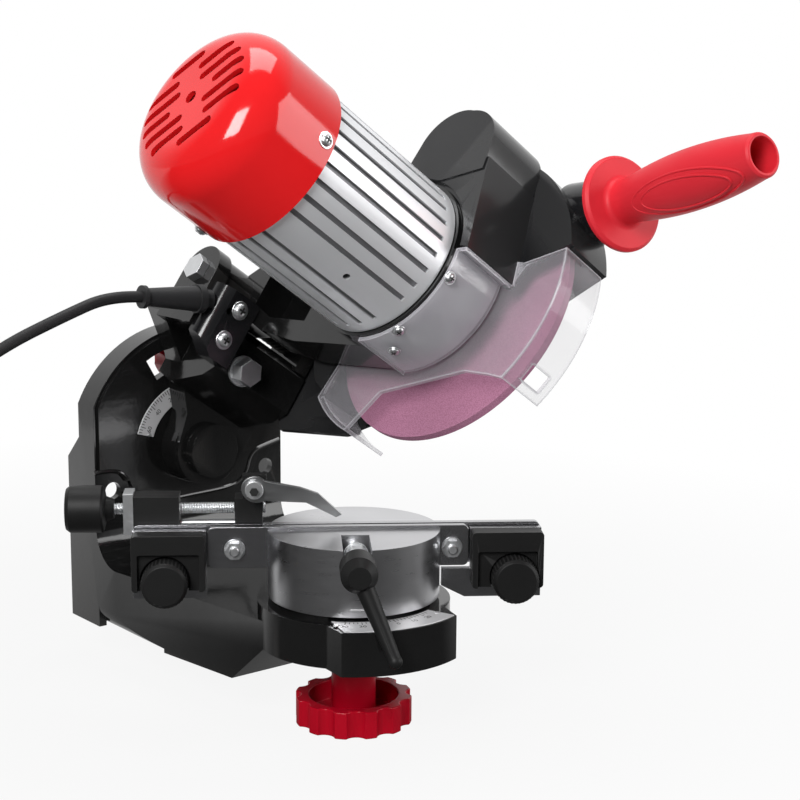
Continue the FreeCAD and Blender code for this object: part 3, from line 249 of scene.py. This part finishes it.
LOOK = {
    "enamel": finish_of("enamel", (0.006, 0.006, 0.006), (0.009, 0.009, 0.009), (0.07, 0.14),
                        grain=240, bump=0.08,
                        depth=0.0004, edge_lift=0.30, edge_colour=(0.06, 0.057, 0.055), Specular_IOR_Level=0.60),
    "housing": finish_of("housing", (0.008, 0.008, 0.009), (0.012, 0.012, 0.013), (0.12, 0.20), grain=700,
                         bump=0.05, edge_lift=0.3, edge_colour=(0.06, 0.06, 0.06), Specular_IOR_Level=0.50),
    "black": finish_of("black", (0.008, 0.008, 0.008), (0.012, 0.012, 0.012), (0.38, 0.55),
                       grain=1400, bump=0.20,
                       edge_lift=0.5, edge_colour=(0.05, 0.05, 0.05), Specular_IOR_Level=0.22),
    "aluminium": finish_of("aluminium", (0.42, 0.43, 0.45), (0.52, 0.53, 0.55), (0.26, 0.40), 1.0, grain=260,
                           bump=0.10, stretch=(1, 6, 6)),
    "barrel": barrel_finish("barrel"),
    "turned": finish_of("turned", (0.56, 0.56, 0.575), (0.64, 0.64, 0.655), (0.24, 0.34),
                        1.0, grain=420, bump=0.06,
                        stretch=(1, 1, 9)),
    "rail": finish_of("rail", (0.40, 0.40, 0.42), (0.47, 0.47, 0.48), (0.20, 0.30), 1.0, grain=420, bump=0.12,
                      stretch=(1, 1, 7)),
    "zinc": finish_of("zinc", (0.72, 0.73, 0.74), (0.84, 0.85, 0.86), (0.32, 0.46), 1.0, grain=600, bump=0.14,
                      cloud=90),
    "bright": finish_of("bright", (0.40, 0.405, 0.41), (0.52, 0.525, 0.53), (0.24, 0.40),
                        1.0, grain=500, bump=0.14,
                        stretch=(1, 1, 5)),
    "dark_steel": finish_of("dark_steel", (0.06, 0.058, 0.056), (0.12, 0.115, 0.11), (0.35, 0.55),
                            1.0, grain=800,
                            bump=0.2, cloud=60),
    "red": finish_of("red", (0.66, 0.008, 0.010), (0.74, 0.012, 0.014), (0.07, 0.13), grain=420, bump=0.03,
                     Specular_IOR_Level=0.50),
    "coral": finish_of("coral", (0.62, 0.018, 0.030), (0.70, 0.028, 0.042), (0.42, 0.54),
                       grain=1500, bump=0.16,
                       Specular_IOR_Level=0.25),
    "crimson": finish_of("crimson", (0.38, 0.001, 0.010), (0.46, 0.002, 0.016), (0.24, 0.36), grain=800,
                         bump=0.10, Specular_IOR_Level=0.20),
    "plate": finish_of("plate", (0.56, 0.56, 0.57), (0.66, 0.66, 0.67), (0.36, 0.50),
                       0.3, grain=900, bump=0.10),
    # ink: print of the scales, and painted shade in the screw sockets
    "ink": finish_of("ink", (0.01, 0.01, 0.01), (0.02, 0.02, 0.02), (0.5, 0.6), grain=900, bump=0.05),
    "rubber": finish_of("rubber", (0.016, 0.016, 0.017), (0.026, 0.026, 0.027), (0.40, 0.56),
                        grain=1300, bump=0.2,
                        Specular_IOR_Level=0.25),
    "brass": finish_of("brass", (0.60, 0.48, 0.26), (0.72, 0.60, 0.36), (0.22, 0.36),
                       1.0, grain=700, bump=0.1),
    "clear": clear_finish("clear"),
    "abrasive": abrasive_finish("abrasive"),
}

NODE_LOOK = {
    "enamel": ["base_casting", "tilt_bracket", "arm_casting"],
    "housing": ["wheel_housing", "cable_cover"],
    "black": ["guide_block_left", "guide_block_right", "guide_knob_left", "guide_knob_right", "clamp_lever",
              "stop_bearing", "stop_knob", "stop_carriage", "switch_bezel", "cooling_fan"],
    "barrel": ["motor_can"],
    "aluminium": ["rear_shield", "inner_flange", "outer_flange"],
    "rail": ["front_rail", "rear_rail", "bracket_left", "bracket_right"],
    "turned": ["turntable"],
    "zinc": ["tilt_pivot", "rail_screw_left", "rail_screw_right", "turntable_bolt", "clamp_stud",
             "stop_plate", "stop_screw", "stop_guide_rod", "pawl_screw", "hinge_bolt", "depth_screw",
             "cover_screw_upper", "cover_screw_lower", "tilt_stud", "disc_nut"],
    "bright": ["stop_pawl", "front_bearing", "rear_bearing", "spindle_shaft"],
    "dark_steel": ["return_spring", "stator", "rotor"],
    "red": ["motor_cap"],
    "coral": ["handle"],
    "crimson": ["lock_knob", "tilt_knob", "switch_rocker"],
    "plate": ["tilt_scale", "vise_scale"],
    "rubber": ["strain_relief", "mains_lead", "lead_coil", "mains_plug"],
    "brass": ["plug_pins"],
    "clear": ["clear_guard"],
    "abrasive": ["grinding_disc"],
}
EDGE = {"base_casting": 1.3, "wheel_housing": 1.0, "arm_casting": 1.3, "tilt_bracket": 1.3, "motor_cap": 0.5,
        "motor_can": 0.25, "handle": 0.3, "lock_knob": 0.6, "tilt_knob": 0.6, "turntable": 0.5,
        "guide_block_left": 0.5, "guide_block_right": 0.5, "stop_bearing": 0.6, "cable_cover": 0.8,
        "grinding_disc": 0.3, "clear_guard": 0.3}


def dress(name, look):
    """Material, softened edges and clean shading for a CAD piece that is shown as it is."""
    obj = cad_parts[name]
    obj.data.materials.clear()
    obj.data.materials.append(LOOK[look])
    if "custom_normal" in obj.data.attributes:
        obj.data.attributes.remove(obj.data.attributes["custom_normal"])
    for face in obj.data.polygons:
        face.use_smooth = True
    weld = obj.modifiers.new("weld", "WELD")
    weld.merge_threshold = 0.00001
    planar = obj.modifiers.new("planar", "DECIMATE")
    planar.decimate_type = "DISSOLVE"
    planar.angle_limit = math.radians(0.5)
    edges = obj.modifiers.new("edges", "BEVEL")
    edges.width = EDGE.get(name, 0.3) / 1000
    edges.segments = 3
    edges.limit_method = "ANGLE"
    edges.angle_limit = math.radians(28)
    edges.harden_normals = True
    return obj


for look, names in NODE_LOOK.items():
    for name in names:
        dress(name, look)

# ---------------------------------------------------------------- small pieces

def lathe(profile, steps=48):
    """Surface turned about Z from (radius, height) points, as corners and faces."""
    corners, faces = [], []
    for j in range(steps):
        a = 2 * math.pi * j / steps
        corners += [(r * math.cos(a), r * math.sin(a), z) for r, z in profile]
    count = len(profile)
    for j in range(steps):
        after = (j + 1) % steps
        for i in range(count - 1):
            faces.append((j * count + i, after * count + i, after * count + i + 1, j * count + i + 1))
    return corners, faces


def prism(outline, low, high):
    count = len(outline)
    corners = [(x, y, low) for x, y in outline] + [(x, y, high) for x, y in outline]
    faces = [tuple(reversed(range(count))), tuple(range(count, 2 * count))]
    for i in range(count):
        after = (i + 1) % count
        faces.append((i, after, count + after, count + i))
    return corners, faces


def thread(radius, depth, pitch, length, steps=20):
    """Helical thread about Z from 0 to length, closed at both ends."""
    corners, faces = [], []
    rows = int(2 * length / pitch) + 3
    for i in range(rows):
        r = radius if i % 2 else radius - depth
        for j in range(steps + 1):
            a = 2 * math.pi * j / steps
            z = min(max((i / 2 - 1 + j / steps) * pitch, 0), length)
            corners.append((r * math.cos(a), r * math.sin(a), z))
    wide = steps + 1
    for i in range(rows - 1):
        for j in range(steps):
            faces.append((i * wide + j, i * wide + j + 1, (i + 1) * wide + j + 1, (i + 1) * wide + j))
    return corners, faces


def coil(radius, wire, length, turns, steps=28, sides=10):
    """Round wire wound about Z."""
    corners, faces = [], []
    count = int(turns * steps)
    for i in range(count + 1):
        a = 2 * math.pi * i / steps
        z = wire + (length - 2 * wire) * i / count
        for k in range(sides):
            b = 2 * math.pi * k / sides
            r = radius + wire * math.cos(b)
            corners.append((r * math.cos(a), r * math.sin(a), z + wire * math.sin(b)))
    for i in range(count):
        for k in range(sides):
            after = (k + 1) % sides
            faces.append((i * sides + k, i * sides + after, (i + 1) * sides + after, (i + 1) * sides + k))
    faces += [tuple(range(sides)), tuple(count * sides + k for k in reversed(range(sides)))]
    return corners, faces


def moved(part, matrix):
    corners, faces = part
    return [tuple(matrix @ Vector(c)) for c in corners], faces


def build(name, look, body, place, *parts):
    """One piece of the scene from parts drawn in millimetres in the space of a group."""
    corners, faces = [], []
    for part_corners, part_faces in parts:
        start = len(corners)
        corners += [tuple(place @ Vector(c)) for c in part_corners]
        faces += [tuple(start + i for i in f) for f in part_faces]
    mesh = bpy.data.meshes.new(name)
    mesh.from_pydata(corners, [], faces)
    work = bmesh.new()
    work.from_mesh(mesh)
    bmesh.ops.remove_doubles(work, verts=work.verts, dist=0.000001)
    bmesh.ops.recalc_face_normals(work, faces=work.faces)
    work.to_mesh(mesh)
    work.free()
    for face in mesh.polygons:
        face.use_smooth = True
    mesh.set_sharp_from_angle(angle=math.radians(35))
    obj = bpy.data.objects.new(name, mesh)
    obj.data.materials.append(LOOK[look])
    bpy.context.scene.collection.objects.link(obj)
    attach(obj, body)
    return obj


def at(point, direction):
    """Matrix that stands a part drawn along Z at a point, along a direction."""
    return aimed(Matrix.Identity(4), point, direction)


def cross_recess(radius, top):
    """Plus-shaped socket of a screw head, as a dark solid filling it: painted shade in place of a hollow."""
    a, b = radius * 0.52, radius * 0.14
    outline = [(a, b), (b, b), (b, a), (-b, a), (-b, b), (-a, b), (-a, -b), (-b, -b), (-b, -a), (b, -a),
               (b, -b), (a, -b)]
    return prism(outline, top - radius * 0.4, top)


def pan_head(radius, height):
    return lathe([(0, height), (0.35 * radius, 0.98 * height), (0.7 * radius, 0.82 * height),
                  (0.94 * radius, 0.45 * height), (radius, 0.1 * height), (0.98 * radius, 0), (0, 0)], 32)


def screws(name, body, place, radius, height, spots):
    """Pan-head screws with cross recesses, each at a point with a direction, and washers under them."""
    heads, socket_shades = [], []
    for point, direction in spots:
        stand = at(point, direction)
        heads.append(moved(pan_head(radius, height), stand))
        heads.append(moved(lathe([(0, 0.25), (1.25 * radius, 0.25), (1.3 * radius, 0), (0, 0)], 32), stand))
        socket_shades.append(moved(cross_recess(radius, height + 0.02), stand))
    # painted shade: the recesses are dark solids, not hollows
    build(name + "_sockets", "ink", body, place, *socket_shades)
    return build(name, "zinc", body, place, *heads)


def round_motor(x, angle, radius):
    """Point on a cylinder round the spindle, and the way outward there."""
    a = math.radians(angle)
    way = (0, -math.cos(a), math.sin(a))
    return (x, SPINDLE[0] - radius * math.cos(a), SPINDLE[1] + radius * math.sin(a)), way


def as_part(data):
    """Corners and faces of a curve or text."""
    source = bpy.data.objects.new("source", data)
    mesh = bpy.data.meshes.new_from_object(source)
    part = [tuple(v.co) for v in mesh.vertices], [tuple(f.vertices) for f in mesh.polygons]
    bpy.data.objects.remove(source)
    bpy.data.meshes.remove(mesh)
    return part


def writing(text, size, matrix):
    """Numeral as a thin solid, centred on its place."""
    data = bpy.data.curves.new("writing", "FONT")
    data.body = text
    data.size = size
    data.align_x, data.align_y = "CENTER", "CENTER"
    data.extrude = 0.03
    return moved(as_part(data), matrix)


def tube(points, radius, closed=False):
    """Round bead along a smooth line."""
    data = bpy.data.curves.new("tube", "CURVE")
    data.dimensions = "3D"
    data.bevel_depth = radius
    data.bevel_resolution = 3
    data.use_fill_caps = not closed
    spline = data.splines.new("NURBS")
    spline.points.add(len(points) - 1)
    for slot, point in zip(spline.points, points):
        slot.co = (*point, 1.0)
    spline.order_u = 3
    spline.resolution_u = 6
    spline.use_cyclic_u = closed
    spline.use_endpoint_u = not closed
    return as_part(data)


def dial(name, body, plane, ticks, angles, step, zero, numerals, size):
    """Ticks from the first radius to the second and numerals beyond it, drawn on a plane of the base."""
    marks = []
    near, far = ticks
    first, last = angles
    for k in range(int((last - first) / step) + 1):
        value = first + step * k
        reach = far if (value - zero) % 10 == 0 else near + 0.6 * (far - near)
        turned = Matrix.Rotation(math.radians(value), 4, "Z")
        low, high = sorted((near, reach))
        tick = prism([(low, -0.2), (high, -0.2), (high, 0.2), (low, 0.2)], 0, 0.05)
        marks.append(moved(tick, plane @ turned))
    gap = 0.75 * size if far > near else -0.75 * size
    for value, text in numerals:
        spot = Matrix.Rotation(math.radians(value), 4, "Z") @ Matrix.Translation((far + gap, 0, 0.02))
        upright = Matrix.Rotation(math.radians(90 if first < 0 else -90), 4, "Z")
        marks.append(writing(text, size, plane @ spot @ upright))
    return build(name, "ink", body, BASE, *marks)


def rivets(name, plane, radius, angles, size):
    head = lathe([(0, 0.55), (0.55 * size, 0.48), (0.9 * size, 0.25), (size, 0), (0, 0)], 20)
    spots = [Matrix.Rotation(math.radians(a), 4, "Z") @ Matrix.Translation((radius, 0, 0)) for a in angles]
    build(name, "zinc", "base", BASE, *[moved(head, plane @ spot) for spot in spots])


def marked_scales():
    """Tilt scale on the back plate and swivel scale on the nose."""
    upright = Matrix.Translation((0, -2.6, 0)) @ Matrix.Rotation(math.radians(90), 4, "X")
    dial("tilt_marks", "base", upright, (37.0, 33.6), (97, 162), 2.5, 97,
         [(97, "0"), (117, "20"), (137, "40"), (157, "60")], 3.6)
    rivets("tilt_rivets", upright, 30.0, (96.0, 162.5), 1.2)
    flat = Matrix.Translation((0, -152.5, -52.4))
    dial("vise_marks", "base", flat, (45.2, 48.6), (-132.5, -77.5), 2.5, -102.5,
         [(-132.5, "30"), (-122.5, "20"), (-112.5, "10"), (-102.5, "0"), (-92.5, "10"), (-82.5, "20")], 3.8)
    rivets("vise_rivets", flat, 50.5, (-137.0, -73.0), 1.7)


def hinge_spring():
    """Return spring wound round the hinge."""
    wound = moved(coil(9.6, 1.5, 22.3, 6.0), at((-19.7, -36, 76), (1, 0, 0)))
    spring = build("spring_wire", "dark_steel", "head", HEAD, wound)
    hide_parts("return_spring")


def head_screws():
    screws("cap_screws", "arm", HEAD, 3.1, 2.0, [round_motor(-147.0, a, 44.6) for a in (12.2, 132.2, -107.8)])
    screws("guard_screws", "arm", HEAD, 2.6, 1.8, [round_motor(x, a, 46.2) for x, a in (
        (-50.5, -49.8), (-39.6, -64.7), (-50.5, -5.0))])
    for name, z in (("upper", 64.0), ("lower", 46.0)):
        made = screws("cover_screw_head_" + name, "head", HEAD, 3.9, 2.4, [((-55.0, -64.0, z), (0, -1, 0))])
        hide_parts("cover_screw_" + name)


def stop_thread():
    """Threaded adjusting screw of the chain stop."""
    screw = build("stop_thread", "zinc", "stop_screw", VISE,
                  moved(thread(3.0, 0.55, STOP_PITCH, 82.5), at((-127, 14, -9.5), (1, 0, 0))),
                  moved(lathe([(0, 0.05), (2.4, 0.05)], 20), at((-44.5, 14, -9.5), (1, 0, 0))))
    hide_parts("stop_screw")


def hexagon(across, low, high):
    r = across / math.sqrt(3)
    return prism([(r * math.cos(math.radians(60 * k)), r * math.sin(math.radians(60 * k))) for k in range(6)],
                 low, high)


def casting_beads():
    """Rounded edge of the raised field, where it steps back round the two mounting holes."""
    left = [(-63.6, -8.2), (-57, -7.9), (-50, -8.6), (-45, -11), (-42.5, -15)]
    right = [(-36, -29.6), (-14, -29.6), (0, -29), (12, -28.8), (24, -28.2), (32, -25.6), (37, -19.5),
             (38.6, -12.5), (43, -8.4), (50, -6.6), (59.4, -4.6)]
    build("field_edge", "enamel", "base", BASE, *[tube([(x, -1.5, z) for x, z in line], 1.3)
                                                 for line in (left, right)])


def grip_point(along, turn):
    """Point on the swelling surface of the grip, from its distance along the handle and angle round it."""
    up, aside = math.radians(12.5), math.radians(12.2)
    axis = Vector((-math.sin(aside), -math.cos(aside) * math.cos(up), math.cos(aside) * math.sin(up)))
    first = (Vector((0, 0, 1)) - axis * axis.z).normalized()
    second = axis.cross(first)
    radius = 14.6 - 0.00215 * (along - 54.2) ** 2
    a = math.radians(turn)
    return Vector((0.5, -230.3, 178.3)) + axis * along + radius * (math.cos(a) * first + math.sin(a) * second)


def grip_panel():
    """Double oval edge of the thumb panel on each side of the grip."""
    ovals = []
    for middle, side in ((158, 1), (-32, -1)):
        for reach, spread in ((35, 44), (28, 32)):
            line = []
            for k in range(24):
                a = 2 * math.pi * k / 24
                turn = middle + side * (8 * math.cos(a) + spread * math.sin(a))
                line.append(grip_point(57 + reach * math.cos(a), turn))
            ovals.append(tube(line, 0.6, closed=True))
    build("grip_panel", "coral", "arm", HEAD, *ovals)


def rail_nuts():
    """Stud through both rails with a washer and nut in front and a nut behind."""
    for side, x in (("left", -60.0), ("right", 49.5)):
        stand = at((x, -2.9, -27.0), (0, -1, 0))
        washer = lathe([(0, 0.7), (5.2, 0.7), (5.4, 0.4), (5.4, 0), (0, 0)], 32)
        stud = lathe([(0, 5.9), (1.9, 5.9), (2.4, 5.4), (2.5, -16.3), (2.0, -16.8), (0, -16.8)], 24)
        pieces = [washer, hexagon(8.0, 0.7, 3.9), hexagon(8.0, -13.8, -9.8), stud]
        made = build("rail_stud_" + side, "zinc", "vise", VISE, *[moved(piece, stand) for piece in pieces])
        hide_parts("rail_screw_" + side)


def table_marks():
    """Index line of the turntable over the swivel scale, and the hexagon socket of the pawl's screw as a flat
    dark mark: painted shade.
    """
    a = math.radians(-89.2)
    spot = at((43.5 * math.cos(a), 43.5 * math.sin(a), -46.6), (math.cos(a), math.sin(a), 0))
    line = prism([(-4.0, -0.4), (4.0, -0.4), (4.0, 0.4), (-4.0, 0.4)], -0.2, 0.15)
    build("index_line", "plate", "vise", VISE, moved(line, spot))
    stand = at((-50.0, -4.7, 3.0), (0, -1, 0))
    # painted shade: a thin dark hexagon laid on the head in place of a hollow socket
    build("pawl_socket_shade", "ink", "stop_carriage", VISE, moved(hexagon(4.0, -0.2, 0.04), stand))


def switch_marks():
    """On and off marks moulded into the rocker."""
    on = prism([(-0.35, -2.0), (0.35, -2.0), (0.35, 2.0), (-0.35, 2.0)], 0, 0.12)
    off = lathe([(1.5, 0.12), (2.0, 0.12), (2.0, 0), (1.5, 0)], 32)
    build("switch_marks", "plate", "switch", HEAD,
          moved(on, at((16.2, -159.4, 168), (1, 0.06, 0))),
          moved(off, at((17.45, -170.6, 168), (1, 0.17, 0))))


def knob_grips():
    """Knurled rims of the plastic thumb knobs."""
    rims = {"guide_knob_left": (-94.5, -41.0), "guide_knob_right": (80.5, -41.0)}
    for name, (x, z) in rims.items():
        ribs = []
        for k in range(36):
            a = 2 * math.pi * k / 36
            rib = prism([(-0.35, -0.35), (0.35, -0.35), (0.35, 0.35), (-0.35, 0.35)], 4.0, 12.0)
            spot = Matrix.Rotation(a, 4, "Z") @ Matrix.Translation((GRIP_R, 0, 0))
            ribs.append(moved(rib, at((x, -5.9, z), (0, -1, 0)) @ spot))
        build(name + "_grip", "black", name, VISE, *ribs)


marked_scales()
hinge_spring()
head_screws()
stop_thread()
casting_beads()
grip_panel()
rail_nuts()
table_marks()
switch_marks()
knob_grips()

# ---------------------------------------------------------------- camera, light and floor

WORLD_LIGHT = 0.12
ROOM_SHINE = 0.07
BACKDROP = (0.63, 0.78, 0.0)
FLOOR_GLOW = 0.90


def camera():
    data = bpy.data.cameras.new("camera")
    data.sensor_width = 36.0
    data.lens = 79.94
    data.clip_start, data.clip_end = 0.05, 20.0
    made = bpy.data.objects.new("camera", data)
    az, el, roll = math.radians(-38.93), math.radians(10.81), math.radians(0.4)
    back = Vector((math.sin(az) * math.cos(el), -math.cos(az) * math.cos(el), math.sin(el)))
    right = Vector((math.cos(az), math.sin(az), 0))
    up = back.cross(right)
    across = math.cos(roll) * right + math.sin(roll) * up
    above = math.cos(roll) * up - math.sin(roll) * right
    turn = Matrix((across, above, back)).transposed().to_4x4()
    made.matrix_world = Matrix.Translation((-0.5279, -0.8423, 0.2345)) @ turn
    bpy.context.scene.collection.objects.link(made)
    bpy.context.scene.camera = made


def lamp(name, place, target, size, power):
    data = bpy.data.lights.new(name, "AREA")
    data.shape = "RECTANGLE"
    data.size, data.size_y = size
    data.energy = power
    made = bpy.data.objects.new(name, data)
    made.location = place
    made.rotation_euler = (Vector(target) - Vector(place)).to_track_quat("-Z", "Y").to_euler()
    bpy.context.scene.collection.objects.link(made)


def backdrop(tree, coordinate, start, end):
    """White towards the backdrop and dark towards the lamps' side of the room, for reflections."""
    place = node(tree, "ShaderNodeTexCoord")
    toward = node(tree, "ShaderNodeVectorMath", operation="DOT_PRODUCT")
    tree.links.new(place.outputs[coordinate], toward.inputs[0])
    toward.inputs[1].default_value = BACKDROP
    return ramp(tree, toward.outputs["Value"], ROOM_SHINE, 1.0, start, end)


def surroundings():
    world = bpy.data.worlds.new("studio")
    bpy.context.scene.world = world
    world.use_nodes = True
    tree = world.node_tree
    tree.nodes["Background"].inputs["Color"].default_value = (1, 1, 1, 1)
    path = node(tree, "ShaderNodeLightPath")
    mirrored = times(tree, path.outputs["Is Glossy Ray"], backdrop(tree, "Generated", -0.1, 0.6))
    seen = either(tree, mirrored, path.outputs["Is Camera Ray"], path.outputs["Is Transmission Ray"])
    tree.links.new(ramp(tree, seen, WORLD_LIGHT, 1.0), tree.nodes["Background"].inputs["Strength"])
    lamp("key", (-1.35, -0.95, 1.05), (-0.05, -0.12, 0.08), (0.7, 0.9), 33)
    lamp("front", (0.86, -1.12, 0.42), (0, -0.15, 0.12), (0.75, 0.85), 8)
    lamp("top", (0.15, 0.05, 1.7), (0, -0.1, 0.05), (1.1, 0.8), 14)
    bpy.ops.mesh.primitive_plane_add(size=16, location=(0, 0, FLOOR_Z))
    floor = bpy.context.active_object
    floor.name = "floor"
    floor.data.materials.append(floor_finish())


def floor_finish():
    """Pale floor under the object that fades into the white of the background."""
    pale = bpy.data.materials.new("floor")
    pale.use_nodes = True
    tree = pale.node_tree
    shader = tree.nodes["Principled BSDF"]
    shader.inputs["Base Color"].default_value = (0.4, 0.4, 0.4, 1)
    shader.inputs["Roughness"].default_value = 0.9
    shader.inputs["Specular IOR Level"].default_value = 0.0
    place = node(tree, "ShaderNodeTexCoord")
    reach = node(tree, "ShaderNodeVectorMath", operation="LENGTH")
    tree.links.new(place.outputs["Object"], reach.inputs[0])
    fade = ramp(tree, reach.outputs["Value"], FLOOR_GLOW, 1.0, 0.20, 0.60)
    path = node(tree, "ShaderNodeLightPath")
    seen = either(tree, path.outputs["Is Camera Ray"], path.outputs["Is Transmission Ray"])
    mirrored = times(tree, path.outputs["Is Glossy Ray"], backdrop(tree, "Object", -0.14, 0.14))
    white = node(tree, "ShaderNodeEmission")
    tree.links.new(either(tree, seen, mirrored), white.inputs["Strength"])
    mix = node(tree, "ShaderNodeMixShader")
    tree.links.new(either(tree, times(tree, seen, fade), path.outputs["Is Glossy Ray"]), mix.inputs["Fac"])
    tree.links.new(shader.outputs["BSDF"], mix.inputs[1])
    tree.links.new(white.outputs["Emission"], mix.inputs[2])
    tree.links.new(mix.outputs["Shader"], tree.nodes["Material Output"].inputs["Surface"])
    return pale


camera()
surroundings()
bpy.context.scene.view_settings.view_transform = "Standard"

# ---------------------------------------------------------------- mains lead

CORD_R = 0.0030
MOUTH = Vector((-0.0255, -0.057, 0.1109))
OUT = Vector((-0.9937, 0.0502, 0.1004))
TIP = MOUTH + OUT * 0.038
COIL = Vector((-0.292, -0.006))
COIL_TURNS = ((39.0, 0.0), (33.0, 0.0), (33.2, 6.1), (38.8, 6.1), (38.9, 12.2), (33.1, 12.2))


def lead_points():
    """Down from the strain relief to the bench, six wound turns, and off to the plug."""
    points = [TIP, TIP + OUT * 0.018]
    points += [Vector(p) / 1000 for p in (
        (-106, -54, 108.6), (-141.2, -52, 95.2), (-180, -50, 72), (-203, -47, 38), (-207, -43, -3),
        (-217, -40, -41), (-236, -39, -72), (-265, -42, -91))]
    low = FLOOR_Z + CORD_R
    steps = 14
    total = len(COIL_TURNS) * steps + 3
    for step in range(total):
        turn = min(step // steps, len(COIL_TURNS) - 1)
        share = (step % steps) / steps if step < len(COIL_TURNS) * steps else 1.0
        radius, level = COIL_TURNS[turn]
        after_radius, after_level = COIL_TURNS[min(turn + 1, len(COIL_TURNS) - 1)]
        ease = max(0.0, (share - 0.7) / 0.3) if step < len(COIL_TURNS) * steps else 1.0
        reach = (radius + (after_radius - radius) * ease) / 1000
        height = (level + (after_level - level) * ease) / 1000
        angle = math.radians(-102) - 2 * math.pi * step / steps
        x = COIL.x + reach * math.cos(angle)
        y = COIL.y + reach * math.sin(angle)
        points.append(Vector((x, y, low + height)))
    return points


def mains_lead():
    points = lead_points()
    data = bpy.data.curves.new("lead", "CURVE")
    data.dimensions = "3D"
    data.bevel_depth = CORD_R
    data.bevel_resolution = 5
    data.use_fill_caps = True
    spline = data.splines.new("NURBS")
    spline.points.add(len(points) - 1)
    for slot, point in zip(spline.points, points):
        slot.co = (*point, 1.0)
    spline.order_u = 3
    spline.use_endpoint_u = True
    spline.resolution_u = 10
    lead = bpy.data.objects.new("lead", data)
    lead.data.materials.append(LOOK["rubber"])
    bpy.context.scene.collection.objects.link(lead)
    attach(lead, "head")
    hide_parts("mains_lead", "lead_coil")
    return lead


lead = mains_lead()
